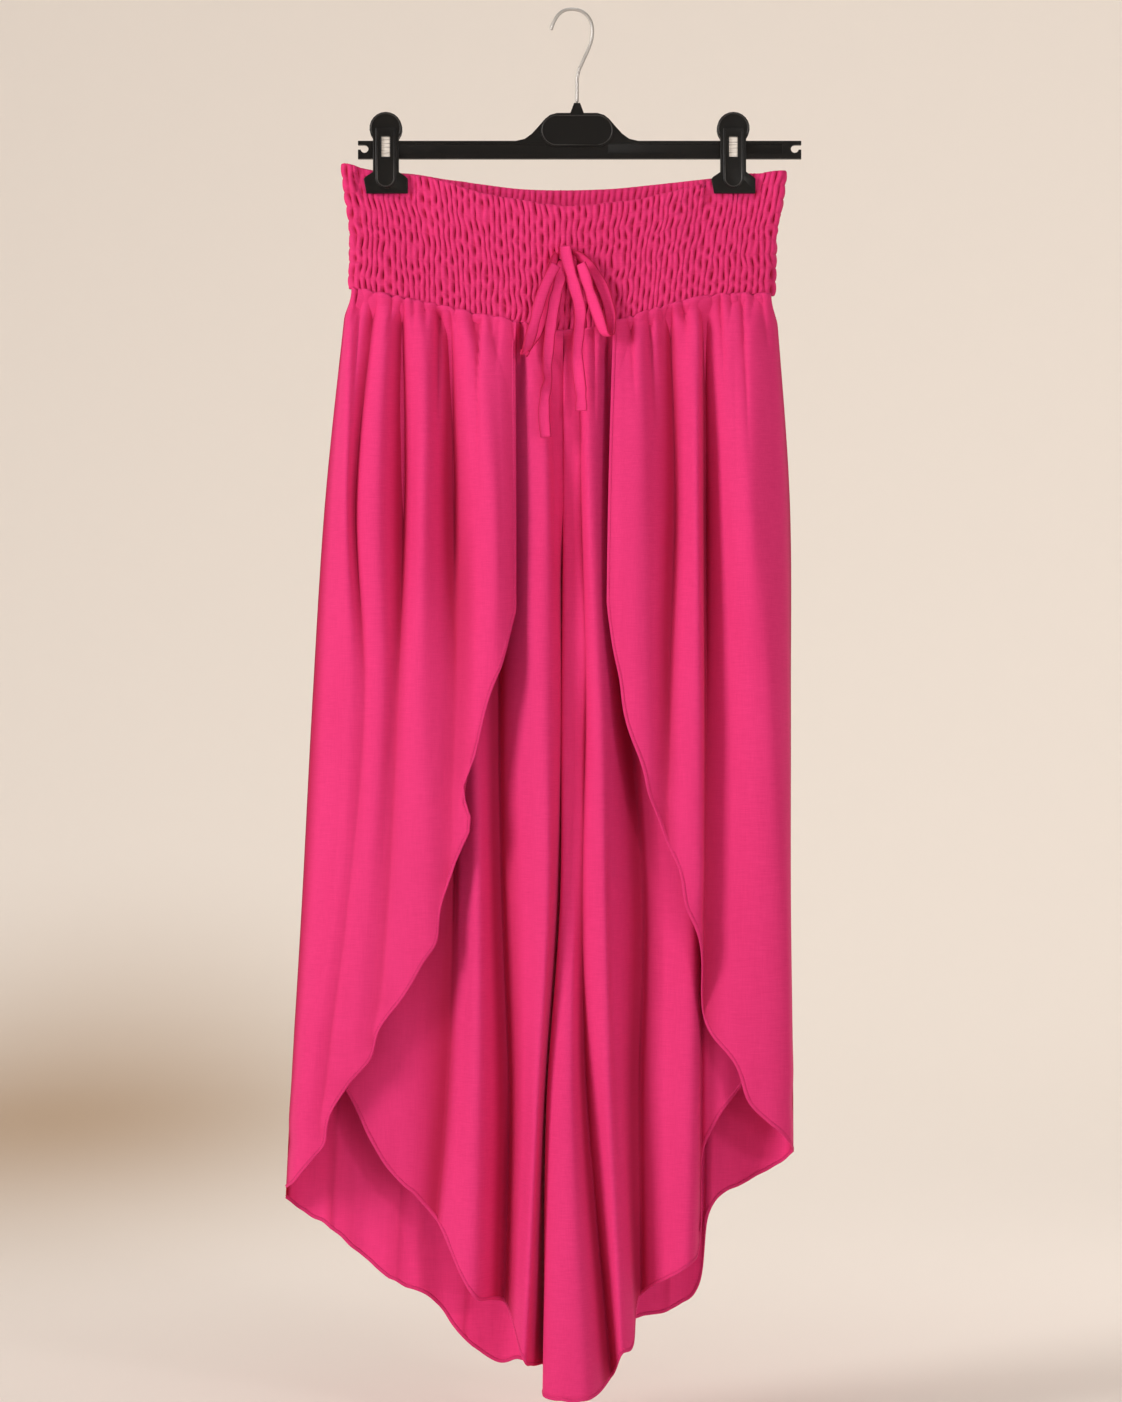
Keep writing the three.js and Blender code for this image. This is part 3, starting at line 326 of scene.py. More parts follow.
# The hook's wire in X and Z, from its tip over the rail to the hub
HOOK = [
    (-18, -16.6), (-16.4, -11.2), (-12.4, -4), (-6.8, 0.4), (0, WIRE_RADIUS), (7.6, 0),
    (13.6, -4.7), (16.9, -11.6), (17.5, -18.6), (16.4, -26.4), (13.1, -35), (9, -44), (5.7, -52),
    (4.4, -59), (HUB_X, -67), (HUB_X, NOSE_TOP_Z + 0.3),
]


def smooth(t):
    s = np.clip(t, 0, 1)
    return s * s * (3 - 2 * s)


def mix(a, b, t):
    return a + (b - a) * t


def through(values, at):
    """A smooth curve through evenly spaced values, carried on straight past its ends."""
    values = np.asarray(values, dtype=float)
    at = np.asarray(at, dtype=float)
    last = len(values) - 1
    i = np.clip(np.floor(at).astype(int), 0, last - 1)
    t = at - i
    here, after = values[i], values[i + 1]
    slope_in = (after - values[np.maximum(0, i - 1)]) / np.where(i > 0, 2, 1)
    slope_out = (values[np.minimum(last, i + 2)] - here) / np.where(i + 1 < last, 2, 1)
    t2, t3 = t * t, t * t * t
    curve = (2 * t3 - 3 * t2 + 1) * here + (t3 - 2 * t2 + t) * slope_in
    curve = curve + (3 * t2 - 2 * t3) * after + (t3 - t2) * slope_out
    return np.where((t < 0) | (t > 1), mix(here, after, t), curve)


def look_up(table, names, key, at, column):
    """A column's value where the key column, which rises, has the value at."""
    keys = table[:, names.index(key)]
    at = np.asarray(at, dtype=float)
    i = np.clip(np.searchsorted(keys, at, side="right") - 1, 0, len(keys) - 2)
    t = np.clip((at - keys[i]) / (keys[i + 1] - keys[i]), 0, 1)
    return through(table[:, names.index(column)], i + t)


def band_value(x, column):
    return look_up(BAND, BAND_COLUMN_NAMES, "x", x, column)


def end_value(height, column):
    return look_up(BAND_ENDS, END_COLUMN_NAMES, "height", height, column)


def lattice(ix, iy, seed):
    """A repeatable value from 0 to 1 for each cell of a grid."""
    n = (ix.astype(np.int64) * 374761393 + iy.astype(np.int64) * 668265263 + seed * 974711)
    n = (n ^ (n >> 13)) * 1274126177
    n = n ^ (n >> 16)
    return (n & 0xFFFF) / 65535.0


def noise(x, y, seed):
    """Smooth noise from -1 to 1."""
    x, y = np.broadcast_arrays(np.asarray(x, dtype=float), np.asarray(y, dtype=float))
    ix, iy = np.floor(x), np.floor(y)
    fx, fy = smooth(x - ix), smooth(y - iy)
    low = mix(lattice(ix, iy, seed), lattice(ix + 1, iy, seed), fx)
    high = mix(lattice(ix, iy + 1, seed), lattice(ix + 1, iy + 1, seed), fx)
    return 2 * mix(low, high, fy) - 1


def gather_ridges(phase):
    """Round ridges with narrow clefts between them, from 0 to 1."""
    return np.abs(np.cos(np.pi * phase)) ** 0.65


def pinch_at(x, height):
    """How far a clip's jaws press the waistband flat."""
    nearest = np.minimum(*(np.abs(x - clip) for clip in CLIP_XS.values()))
    across = 1 - smooth((nearest - JAW_HALF_WIDTH - 3) / 28)
    return across * (1 - smooth((height - 0.22) / 0.5))


def band_surface(angle, height):
    """The waistband's middle surface, at angles round it and fractions of its height."""
    right, left = end_value(height, "right"), end_value(height, "left")
    x = mix(right, left, (1 - np.cos(angle)) / 2)
    depth = mix(band_value(x, "top"), band_value(x, "seam"), smooth(height))
    depth = depth * np.sqrt(np.abs(np.sin(angle)))
    depth = mix(depth, np.minimum(depth, PINCH_DEPTH), pinch_at(x, height))
    is_front = np.sin(angle) >= 0
    top = np.where(is_front, band_value(x, "front_top"), band_value(x, "back_top"))
    seam = np.where(is_front, band_value(x, "front_seam"), band_value(x, "back_seam"))
    return np.stack([x, np.where(is_front, -depth, depth), mix(top, seam, height)], axis=-1)


def band_lengths():
    """Angles round the waistband and the length of cloth up to each of them."""
    fine = np.linspace(0, 2 * np.pi, 1441)
    line = band_surface(fine, np.full_like(fine, 0.6))[:, :2]
    lengths = np.concatenate([[0], np.cumsum(np.linalg.norm(np.diff(line, axis=0), axis=1))])
    return fine, lengths


def unit(vectors):
    """Vectors, the last axis, brought to length 1."""
    return vectors / np.maximum(np.linalg.norm(vectors, axis=-1, keepdims=True), 1e-9)


def add_object(name, data):
    piece = bpy.data.objects.new(name, data)
    bpy.context.collection.objects.link(piece)
    return piece


def mesh_object(name, points, faces, material):
    """A mesh piece with its place in its vertices, from points in millimetres."""
    mesh = bpy.data.meshes.new(name)
    mesh.from_pydata((np.asarray(points, dtype=float) * MM).tolist(), [], faces)
    mesh.polygons.foreach_set("use_smooth", [True] * len(mesh.polygons))
    mesh.materials.append(material)
    mesh.update()
    return add_object(name, mesh)


def turn_outwards(piece):
    mesh = bmesh.new()
    mesh.from_mesh(piece.data)
    bmesh.ops.recalc_face_normals(mesh, faces=mesh.faces)
    mesh.to_mesh(piece.data)
    mesh.free()


def tube_object(name, rings, material):
    """A closed bar through rings of points, capped at both ends."""
    count, sides, _ = rings.shape
    faces = quad_grid(count - 1, sides, 0, True, True)
    faces.append(tuple(range(sides)))
    faces.append(tuple((count - 1) * sides + i for i in range(sides - 1, -1, -1)))
    tube = mesh_object(name, rings.reshape(-1, 3), faces, material)
    turn_outwards(tube)
    return tube


def set_painted_shade(piece, values):
    """Stores how deep each point lies in a fold, for the painted shade in the cloth's colour."""
    layer = piece.data.attributes.new("painted_shade", "FLOAT", "POINT")
    layer.data.foreach_set("value", np.asarray(values, dtype=np.float32).ravel())


def blurred(values, reach):
    """Each row of values, averaged over its neighbours on both sides."""
    padded = np.pad(values, ((0, 0), (reach, reach)), mode="edge")
    total = np.cumsum(np.pad(padded, ((0, 0), (1, 0))), axis=1)
    return (total[:, 2 * reach + 1:] - total[:, :-2 * reach - 1]) / (2 * reach + 1)


def quad_grid(rows, columns, start, is_closed, is_outward):
    """Faces between the rows of a grid of points; a closed grid joins its last column to its first."""
    faces = []
    width = columns if is_closed else columns + 1
    for row in range(rows):
        for column in range(columns):
            after = (column + 1) % width
            a, b = start + row * width + column, start + row * width + after
            c, d = b + width, a + width
            faces.append((a, d, c, b) if is_outward else (a, b, c, d))
    return faces


class Surface:
    """A material in the making, with its patterns on the object's own coordinates."""

    def __init__(self, name, **values):
        self.material = bpy.data.materials.new(name)
        self.material.use_nodes = True
        self.nodes = self.material.node_tree.nodes
        self.link = self.material.node_tree.links.new
        self.place = self.nodes.new("ShaderNodeTexCoord").outputs["Object"]
        self.shader = self.set_inputs(self.nodes["Principled BSDF"], values)

    def set_inputs(self, node, values):
        for name, value in values.items():
            node.inputs[name.replace("_", " ")].default_value = value
        return node

    def add(self, kind, **values):
        return self.set_inputs(self.nodes.new("ShaderNode" + kind), values)

    def noise(self, scale, detail, roughness=0.5):
        """A noise pattern, stretched where its scale has three values."""
        is_stretched = isinstance(scale, tuple)
        size = 1.0 if is_stretched else scale
        pattern = self.add("TexNoise", Scale=size, Detail=detail, Roughness=roughness)
        place = self.place
        if is_stretched:
            mapping = self.add("Mapping", Scale=scale)
            self.link(place, mapping.inputs["Vector"])
            place = mapping.outputs["Vector"]
        self.link(place, pattern.inputs["Vector"])
        return pattern.outputs["Fac"]

    def scaled(self, value, share, base=None):
        """A value times a share, on top of another value where one is given."""
        node = self.add("Math")
        node.operation = "MULTIPLY" if base is None else "MULTIPLY_ADD"
        node.inputs[1].default_value = share
        self.link(value, node.inputs[0])
        if base is not None:
            self.link(base, node.inputs[2])
        return node

    def ramp(self, value, *stops):
        """Colours over a value, from pairs of position and colour."""
        ramp = self.add("ValToRGB")
        for element, (position, color) in zip(ramp.color_ramp.elements, stops):
            element.position = position
            element.color = (*color, 1)
        self.link(value, ramp.inputs["Fac"])
        return ramp

    def paint(self, color):
        self.link(color, self.shader.inputs["Base Color"])

    def bump(self, height, strength, distance):
        bump = self.add("Bump", Strength=strength, Distance=distance)
        self.link(height, bump.inputs["Height"])
        self.link(bump.outputs["Normal"], self.shader.inputs["Normal"])

    def vary_roughness(self, value, low, high):
        span = self.add("MapRange", To_Min=low, To_Max=high)
        self.link(value, span.inputs["Value"])
        self.link(span.outputs["Result"], self.shader.inputs["Roughness"])


def crepe_material(name, shade=1.0, slub=1.0):
    """Matte viscose crepe: fuchsia, with faint slubs both ways and a fine grain, and painted shade, a
    deeper red, in its folds.
    """
    crepe = Surface(name, Roughness=0.78, Specular_IOR_Level=0.18, Sheen_Weight=0.07,
                    Sheen_Roughness=0.45, Sheen_Tint=(1.0, 0.42, 0.6, 1.0))
    across = crepe.noise((90, 90, 2200), 1, 0.6)
    along = crepe.noise((2200, 2200, 60), 1, 0.6)
    grain = crepe.noise((1900, 1900, 1900), 0, 0.6)
    cloud = crepe.noise((9, 9, 5), 3, 0.6)
    threads = crepe.scaled(along, 0.8, across).outputs[0]
    weave = crepe.scaled(grain, 0.5, threads).outputs[0]
    tone = crepe.scaled(crepe.scaled(cloud, 0.9, threads).outputs[0], 0.5).outputs[0]
    full, worn, shade_color = (tuple(part * shade for part in color) for color in (FUCHSIA, WORN, PAINTED_SHADE_COLOR))
    surface = crepe.ramp(tone, (0.475, full), (0.875, worn))
    # Painted shade: mixes the colour toward deep red by how deep each point lies in a fold
    painted_shade = crepe.add("Attribute")
    painted_shade.attribute_name = "painted_shade"
    share = crepe.scaled(painted_shade.outputs["Fac"], 0.85)
    share.use_clamp = True
    paint_shade_mix = crepe.add("Mix")
    paint_shade_mix.data_type = "RGBA"
    crepe.link(share.outputs[0], paint_shade_mix.inputs["Factor"])
    crepe.link(surface.outputs["Color"], paint_shade_mix.inputs[6])
    paint_shade_mix.inputs[7].default_value = (*shade_color, 1)
    crepe.paint(paint_shade_mix.outputs[2])
    crepe.bump(weave, 0.16 * slub, 0.0004)
    return crepe.material


def moulded_plastic(name, tone, gloss):
    """Satin black moulded plastic with a faint texture and scuffs."""
    black = (tone, tone * 0.93, tone * 0.86, 1)
    moulding = Surface(name, Base_Color=black, Specular_IOR_Level=gloss)
    moulding.vary_roughness(moulding.noise(70, 5), 0.3, 0.42)
    moulding.bump(moulding.noise(900, 2), 0.12, 0.0002)
    return moulding.material


def plated_steel():
    """Bright plated wire, with fine draw marks."""
    wire = Surface("plated_steel", Base_Color=(0.5, 0.48, 0.455, 1), Metallic=0.4)
    wire.vary_roughness(wire.noise(260, 4), 0.22, 0.38)
    return wire.material


def brushed_strip():
    """The clips' bright flat strip, brushed across, with faint pressed lines."""
    bright = Surface("bright_strip", Metallic=0.55, Roughness=0.42)
    lines = bright.noise((40, 40, 900), 3)
    tone = bright.ramp(lines, (0.33, (0.5, 0.46, 0.42)), (0.5, (1.0, 0.95, 0.88)))
    bright.paint(tone.outputs["Color"])
    return bright.material


def paper_material():
    """The pale warm studio paper, with a painted soft shadow where it bends up, low on the left."""
    paper = Surface("studio_paper", Roughness=0.95, Specular_IOR_Level=0.1)
    # Painted shadow: a soft dark patch on the paper, darkest at its middle
    shadow_patch = paper.add("Mapping", Location=(-0.8, 2.8, -1.2), Scale=(0.9, 2.3, 1.0))
    shadow_patch.vector_type = "TEXTURE"
    ball = paper.add("TexGradient")
    ball.gradient_type = "SPHERICAL"
    paper.link(paper.place, shadow_patch.inputs["Vector"])
    paper.link(shadow_patch.outputs["Vector"], ball.inputs["Vector"])
    tone = paper.ramp(ball.outputs["Fac"], (0, (0.86, 0.795, 0.73)), (1, (0.50, 0.375, 0.27)))
    tone.color_ramp.interpolation = "EASE"
    paper.paint(tone.outputs["Color"])
    return paper.material


cloth = crepe_material("fuchsia_crepe")
# Painted light: a lighter copy of the crepe, for the back panels and the drawstring's ribbons
painted_light_cloth = crepe_material("painted_light_crepe", shade=1.14)
# Painted light: a slightly lighter copy of the crepe for the smocked band
smocked_cloth = crepe_material("smocked_crepe", shade=1.05, slub=0.8)
# Painted shade: a darker copy of the crepe for the rolled hems
hem_cloth = crepe_material("hem_crepe", shade=0.93)
thread = crepe_material("hem_thread", shade=0.8)
plastic = moulded_plastic("black_plastic", 0.004, 0.32)
# Painted highlight: a lighter, glossier copy of the black plastic for the beads along the mouldings' edges
painted_highlight_plastic = moulded_plastic("painted_highlight_plastic", 0.03, 0.6)
steel = plated_steel()
strip = brushed_strip()


def finish_piece(piece, node):
    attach(piece, "root")
    if node:
        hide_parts(node)
    return piece


def build_waistband():
    """The smocked waistband: gathers between rows of elastic outside, plain inside."""
    fine, lengths = band_lengths()
    around = lengths[-1]
    gathers = round(around / GATHER_PITCH)
    phase = np.tile(GATHER_PHASES, gathers)
    gather = np.repeat(np.arange(gathers), len(GATHER_PHASES))
    columns = len(phase)
    heights = np.linspace(0, 1, BAND_ROWS + 1)[:, None]
    row = heights * ELASTIC_ROWS
    from_elastic = np.abs(np.sin(np.pi * row)) ** 0.6

    # Each gather wavers and slants from row to row
    slant = np.abs(2 * np.mod(row / 2, 1) - 1) - 0.5
    waver = 0.3 * noise(gather[None, :] * 0.4, row * 0.5, 3) + 0.12 * noise(gather[None, :], row, 5)
    waver = waver + 0.45 * slant * noise(gather[None, :] * 0.09, row * 0.3, 13)
    lean = 1.3 * np.sin(4 * np.pi * (gather / gathers))[None, :] * (heights - 0.5)
    s = around * (gather[None, :] + phase[None, :] + waver + lean) / gathers
    angle = np.interp(np.mod(s, around), lengths, fine)
    height = np.broadcast_to(heights, angle.shape)
    middle = band_surface(angle, height)
    step = 0.01
    tangent = band_surface(angle + step, height) - band_surface(angle - step, height)
    normal = unit(np.stack([tangent[..., 1], -tangent[..., 0], np.zeros_like(height)], axis=-1))

    # Its cleft opens and closes from row to row, out of step with its neighbours'
    nearest_cleft = gather + (phase > 0.5)
    start = lattice(nearest_cleft, 0 * nearest_cleft, 7)[None, :]
    drift = 2.4 * noise(nearest_cleft[None, :] * 0.3, 0.8 * row, 9)
    opened = 0.5 + 0.5 * np.cos(np.pi * (1.3 * row + nearest_cleft[None, :]) + 2.2 * start + drift)
    cleft = np.clip(0.32 + 0.85 * opened, 0, 1.1) * (0.38 + 0.62 * from_elastic)
    full = GATHER_HEIGHT * (0.7 + 0.3 * from_elastic)
    puffed = np.sin(np.pi * phase)[None, :] ** 0.5
    relief = full * (1 - (1 - puffed) * cleft)

    # The jaws press the gathers flat
    under_jaw = pinch_at(middle[..., 0], np.zeros_like(height)) > 0.95
    jaw_end = 1 - smooth((height - 0.17) / 0.06)
    relief = relief * np.where(under_jaw, 1 - jaw_end, 1)
    outer = middle + normal * (BAND_SHELL / 2 + relief)[..., None]
    ruffle = noise(gather[None, :] * 0.7 + phase[None, :], row * 0, 21)
    outer[..., 2] += 0.8 * ruffle * (1 - smooth(height * 14))
    inner = middle - normal * (BAND_SHELL / 2 + 1.8 * puffed * (0.5 + 0.5 * from_elastic))[..., None]
    inner_rows = range(0, BAND_ROWS + 1, INNER_ROW_STEP)
    points = np.concatenate([outer.reshape(-1, 3), inner[inner_rows].reshape(-1, 3)])
    inner_start = (BAND_ROWS + 1) * columns
    faces = quad_grid(BAND_ROWS, columns, 0, True, True)
    faces += quad_grid(len(inner_rows) - 1, columns, inner_start, True, False)
    last_outer = BAND_ROWS * columns
    last_inner = inner_start + (len(inner_rows) - 1) * columns
    for column in range(columns):
        after = (column + 1) % columns
        faces.append((column, after, inner_start + after, inner_start + column))
        faces.append((last_outer + after, last_outer + column, last_inner + column, last_inner + after))
    band = mesh_object("waistband_smocked", points, faces, smocked_cloth)
    # Painted shade: darker in the clefts between the gathers and along the elastic rows
    painted_shade = (1 - puffed) * cleft * 1.15 + 0.18 * (1 - from_elastic)
    set_painted_shade(band, np.concatenate([painted_shade.ravel(), painted_shade[inner_rows].ravel()]))
    finish_piece(band, "waistband")


def centre_depth(z, is_front):
    """Depth of the seam between the legs: the rise above the crotch, the inseam below it."""
    joined = INSEAM_Y + (-EDGE_GAP if is_front else EDGE_GAP)
    return mix(-10 if is_front else 13, joined, smooth((RISE_START_Z - z) / (RISE_START_Z - CROTCH_Z)))


def leg_gap_at(z):
    return mix(RISE_GAP, LEG_GAP, smooth((RISE_START_Z - z) / (RISE_START_Z - CROTCH_Z)))


def panel_surface(name, panel):
    """A panel's middle surface as rows of points from the waist seam to the hem."""
    folds, is_front = panel["folds"], panel["front"]
    columns = (len(folds) - 1) * COLUMNS_PER_FOLD
    across = np.linspace(0, len(folds) - 1, columns + 1)
    down = (np.arange(PANEL_ROWS + 1) / PANEL_ROWS) ** ROW_CROWDING
    top_x = through([fold[1][0] for fold in folds], across) * SEAM_SCALE
    face = "front" if is_front else "back"
    top = band_value(top_x, face + "_seam") - SEAM_GAP
    hem = through([fold[3] for fold in folds], across)
    z = mix(top[None, :], hem[None, :], down[:, None])
    station = (STATIONS[0] - z) / (STATIONS[0] - STATIONS[1])
    line_x, line_y = [], []
    for kind, xs, ys, _ in folds:
        is_centre = kind == "centre"
        line_x.append(through(xs, station) + (panel["side"] * leg_gap_at(z) if is_centre else 0))
        line_y.append(centre_depth(z, is_front) if is_centre else through(ys, station))
    line_x, line_y = np.array(line_x), np.array(line_y)
    x, y = np.empty_like(z), np.empty_like(z)
    for column, at in enumerate(across):
        x[:, column] = through(line_x[:, :, column], at)
        y[:, column] = through(line_y[:, :, column], at)
    outwards = -1 if is_front else 1
    end = np.where(top_x < 0, BAND_ENDS[-1][1], BAND_ENDS[-1][2])
    reach = np.minimum(1, np.abs(top_x / end))
    sewn = outwards * np.maximum(band_value(top_x, "seam") * (1 - reach**2) ** 0.25 + panel["lift"], 0)
    fall = top[None, :] - z
    opened = smooth(fall / PUFF_OUT)
    x = mix(top_x[None, :], x, opened)
    y = mix(sewn[None, :], y, opened)

    # Puckers under the waist seam, a sharp cleft along each valley, and long soft creases
    seed = panel["seed"]
    near_seam = np.exp(-fall / PUCKER_LENGTH) * smooth((fall + 5) / 9)
    pucker = gather_ridges(x / PUCKER_PITCH + 1.1 * noise(x / 31, fall / 90, seed))
    y = y + outwards * (near_seam * (PUCKER_DEPTH * pucker - 1.5) + SEAM_PUFF * np.exp(-((fall / 11) ** 2)))
    z = z + SEAM_LAP_UP * (pucker - 0.45) * np.exp(-fall / 5)
    calm_start, calm_drop, calm_share = CALM.get(name, (-1300, 100, 0))
    calm = smooth((calm_start - z) / calm_drop)
    clear = np.minimum(1, np.minimum(across, across[-1] - across))[None, :]
    y = mix(y, blurred(y, CALM_REACH), calm_share * calm * clear)
    kept = 1 - 0.85 * calm
    for index, (kind, *_) in enumerate(folds):
        if kind in ("valley", "tuck"):
            from_valley = x - line_x[index]
            depth = CLEFT_DEPTH * (0.8 + 0.35 * noise(z / 90, np.full_like(z, index), seed + 5))
            width = np.where(from_valley < 0, CLEFT_SLOPE, CLEFT_RETURN)
            cleft = depth * kept * np.exp(-np.abs(from_valley) / width)
            y = y - outwards * cleft * smooth((fall + 2) / 12)
    for top_end, low_end, length, depth in SEAM_CREASES[name]:
        from_crease = x - mix(top_end, low_end, np.minimum(fall / length, 1.2))
        width = np.where(from_crease < 0, CLEFT_SLOPE * 0.6, CLEFT_RETURN)
        fades = smooth((fall + 4) / 10) * (1 - smooth(fall / length))
        y = y - outwards * depth * np.exp(-np.abs(from_crease) / width) * fades
    long_crease = noise(x / 21 + z / 400, z / 260, seed + 1) + 0.5 * noise(x / 10, z / 170, seed + 2)
    y = y + outwards * 1.3 * long_crease * clear * smooth(fall / 40) * (0.45 + 0.55 * kept)

    # The hem's own flutter, and the swing of a wrap's free edge
    from_hem = z - hem[None, :]
    near_hem = np.exp(-from_hem / 26)
    y = y + 1.6 * near_hem * noise(x / 16, np.zeros_like(x), seed + 3) * clear
    z = z + 1.1 * np.exp(-from_hem / 7) * noise(x / 8, np.zeros_like(x), seed + 4) * clear
    for height, swing, span in EDGE_WAVES.get(name, ()):
        wave = np.exp(-(((z - height) / span) ** 2)) * np.exp(-from_hem / 34)
        x = x + swing * wave
        y = y - abs(swing) * 0.5 * wave
    return np.stack([x, y, z], axis=-1)


def surface_normals(grid, is_front):
    """The outward direction at each point of a panel's surface."""
    normal = unit(np.cross(np.gradient(grid, axis=1), np.gradient(grid, axis=0)))
    return normal if is_front else -normal


def keep_clear(face, panel):
    """Keeps a shell on its own side of each seam."""
    folds, is_front = panel["folds"], panel["front"]
    x, y, z = face[..., 0], face[..., 1], face[..., 2]
    line = through(LEG_LINE_X, (STATIONS[0] - z) / (STATIONS[0] - STATIONS[1]))
    lap = np.where(z > RISE_START_Z, SEAM_LAP, -EDGE_GAP)
    if panel["side"] < 0:
        face[..., 0] = np.minimum(x, line + lap)
    elif not is_front:
        face[..., 0] = np.maximum(x, line - lap)
    for column, kind in ((0, folds[0][0]), (-1, folds[-1][0])):
        if kind == "side":
            limit = np.minimum if is_front else np.maximum
            face[:, column, 1] = limit(y[:, column], -EDGE_GAP if is_front else EDGE_GAP)


def build_panel(name, panel):
    """A cloth panel as a thin closed shell, and the line of its hem."""
    # The back panels take the lighter copy of the crepe: painted light
    material = cloth if panel["front"] else painted_light_cloth
    grid = panel_surface(name, panel)
    normal = surface_normals(grid, panel["front"])
    outer, inner = grid + normal * SHELL / 2, grid - normal * SHELL / 2
    keep_clear(outer, panel)
    keep_clear(inner, panel)
    rows, columns = grid.shape[0] - 1, grid.shape[1] - 1
    width = columns + 1
    count = (rows + 1) * width
    faces = quad_grid(rows, columns, 0, False, panel["front"] is False)
    faces += quad_grid(rows, columns, count, False, panel["front"])
    rim = [row * width for row in range(rows + 1)]
    rim += [rows * width + column for column in range(1, columns + 1)]
    rim += [row * width + columns for row in range(rows - 1, -1, -1)]
    rim += [column for column in range(columns - 1, 0, -1)]
    for a, b in zip(rim, rim[1:] + rim[:1]):
        quad = (a, b, b + count, a + count)
        faces.append(quad if panel["front"] else quad[::-1])
    points = np.concatenate([outer.reshape(-1, 3), inner.reshape(-1, 3)])
    piece = mesh_object(name + "_cloth", points, faces, material)
    outwards = -1 if panel["front"] else 1
    depth = outwards * grid[..., 1]
    # Painted shade: darker where a point lies deeper than its neighbours across the fold; the inside gets
    # half
    painted_shade = sum(share * np.clip((blurred(depth, reach) - depth) / full, 0, 1)
                 for reach, full, share in PAINTED_SHADE_HOLLOWS)
    set_painted_shade(piece, np.concatenate([painted_shade.ravel(), 0.5 * painted_shade.ravel()]))
    finish_piece(piece, name)
    edge = [(grid[rows, c], normal[rows, c], grid[rows - 1, c] - grid[rows, c]) for c in range(width)]
    kinds = (panel["folds"][0][0], panel["folds"][-1][0])
    if "edge" in kinds:
        at, inwards = (0, 1) if kinds[0] == "edge" else (columns, columns - 1)
        free = [(grid[r, at], normal[r, at], grid[r, inwards] - grid[r, at]) for r in range(rows + 1)]
        edge = free[:-2] + edge[1:] if at == 0 else edge[:-1] + free[-2::-1]
    return piece, edge


def hem_frames(edge):
    """Points, outward and inward directions along a hem."""
    points = np.array([e[0] for e in edge])
    normals = np.array([e[1] for e in edge])
    inward = np.cross(unit(np.gradient(points, axis=0)), normals)
    guess = np.array([e[2] for e in edge])
    flip = np.where(np.sum(inward * guess, axis=1) < 0, -1, 1)
    return points, normals, unit(inward * flip[:, None])


def build_hem(name, edge):
    """A narrow rolled hem that holds the panel's edge, and the line of its stitches."""
    points, normals, inward = hem_frames(edge)
    half = HEM_THICKNESS / 2
    section = [
        (-0.35, 0.0), (-0.1, 0.75 * half), (0.6, half), (HEM_WIDTH - 0.9, 0.8 * half),
        (HEM_WIDTH, 0.45 * half), (HEM_WIDTH, -0.45 * half), (HEM_WIDTH - 0.9, -0.8 * half),
        (0.6, -half), (-0.1, -0.75 * half),
    ]
    rings = np.array([
        [points[i] + inward[i] * a + normals[i] * b for a, b in section] for i in range(len(points))
    ])
    hem = finish_piece(tube_object(name, rings, hem_cloth), None)
    middle = points + inward * (HEM_WIDTH - STITCH_INSET)
    out = normals * (half * 0.9)
    return hem, [middle + out, middle - out]


def stitch_tree():
    """Geometry Nodes: stitches laid end to end along lines."""
    tree = bpy.data.node_groups.new("hem_stitching", "GeometryNodeTree")
    for label, direction, kind in (
        ("Lines", "INPUT", "Geometry"), ("Spacing", "INPUT", "Float"),
        ("Stitch size", "INPUT", "Vector"), ("Thread", "INPUT", "Material"),
        ("Stitches", "OUTPUT", "Geometry"),
    ):
        tree.interface.new_socket(label, in_out=direction, socket_type="NodeSocket" + kind)
    nodes = tree.nodes
    given = nodes.new("NodeGroupInput")
    result = nodes.new("NodeGroupOutput")
    to_curve = nodes.new("GeometryNodeMeshToCurve")
    resample = nodes.new("GeometryNodeResampleCurve")
    resample.mode = "LENGTH"
    tangent = nodes.new("GeometryNodeInputTangent")
    turn = nodes.new("FunctionNodeAlignRotationToVector")
    turn.axis = "X"
    stitch = nodes.new("GeometryNodeMeshCube")
    place = nodes.new("GeometryNodeInstanceOnPoints")
    realize = nodes.new("GeometryNodeRealizeInstances")
    paint = nodes.new("GeometryNodeSetMaterial")
    for source, output, target, socket in (
        (given, "Lines", to_curve, "Mesh"), (to_curve, "Curve", resample, "Curve"),
        (given, "Spacing", resample, "Length"), (tangent, "Tangent", turn, "Vector"),
        (given, "Stitch size", stitch, "Size"), (resample, "Curve", place, "Points"),
        (stitch, "Mesh", place, "Instance"), (turn, "Rotation", place, "Rotation"),
        (place, "Instances", realize, "Geometry"), (realize, "Geometry", paint, "Geometry"),
        (given, "Thread", paint, "Material"), (paint, "Geometry", result, "Stitches"),
    ):
        tree.links.new(source.outputs[output], target.inputs[socket])
    return tree


def build_stitches(name, lines, spacing, size, material):
    """One mesh of all the stitches along the lines."""
    points, edges = [], []
    for line in lines:
        start = len(points)
        points += (np.asarray(line) * MM).tolist()
        edges += [(start + i, start + i + 1) for i in range(len(line) - 1)]
    mesh = bpy.data.meshes.new(name + "_lines")
    mesh.from_pydata(points, edges, [])
    guide = add_object(name + "_guide", mesh)
    tree = stitch_tree()
    modifier = guide.modifiers.new("stitches", "NODES")
    modifier.node_group = tree
    sockets = {s.name: s.identifier for s in tree.interface.items_tree if s.in_out == "INPUT"}
    modifier[sockets["Spacing"]] = spacing * MM
    modifier[sockets["Stitch size"]] = tuple(v * MM for v in size)
    modifier[sockets["Thread"]] = material
    bpy.context.view_layer.update()
    evaluated = guide.evaluated_get(bpy.context.evaluated_depsgraph_get())
    made = bpy.data.meshes.new_from_object(evaluated)
    guide.modifiers.clear()
    bpy.data.objects.remove(guide)
    made.name = name
    finish_piece(add_object(name, made), None)


def strand_path(points, count):
    table = np.array(points, dtype=float)
    at = np.linspace(0, len(points) - 1, count)
    return np.stack([through(table[:, i], at) for i in range(4)], axis=1)


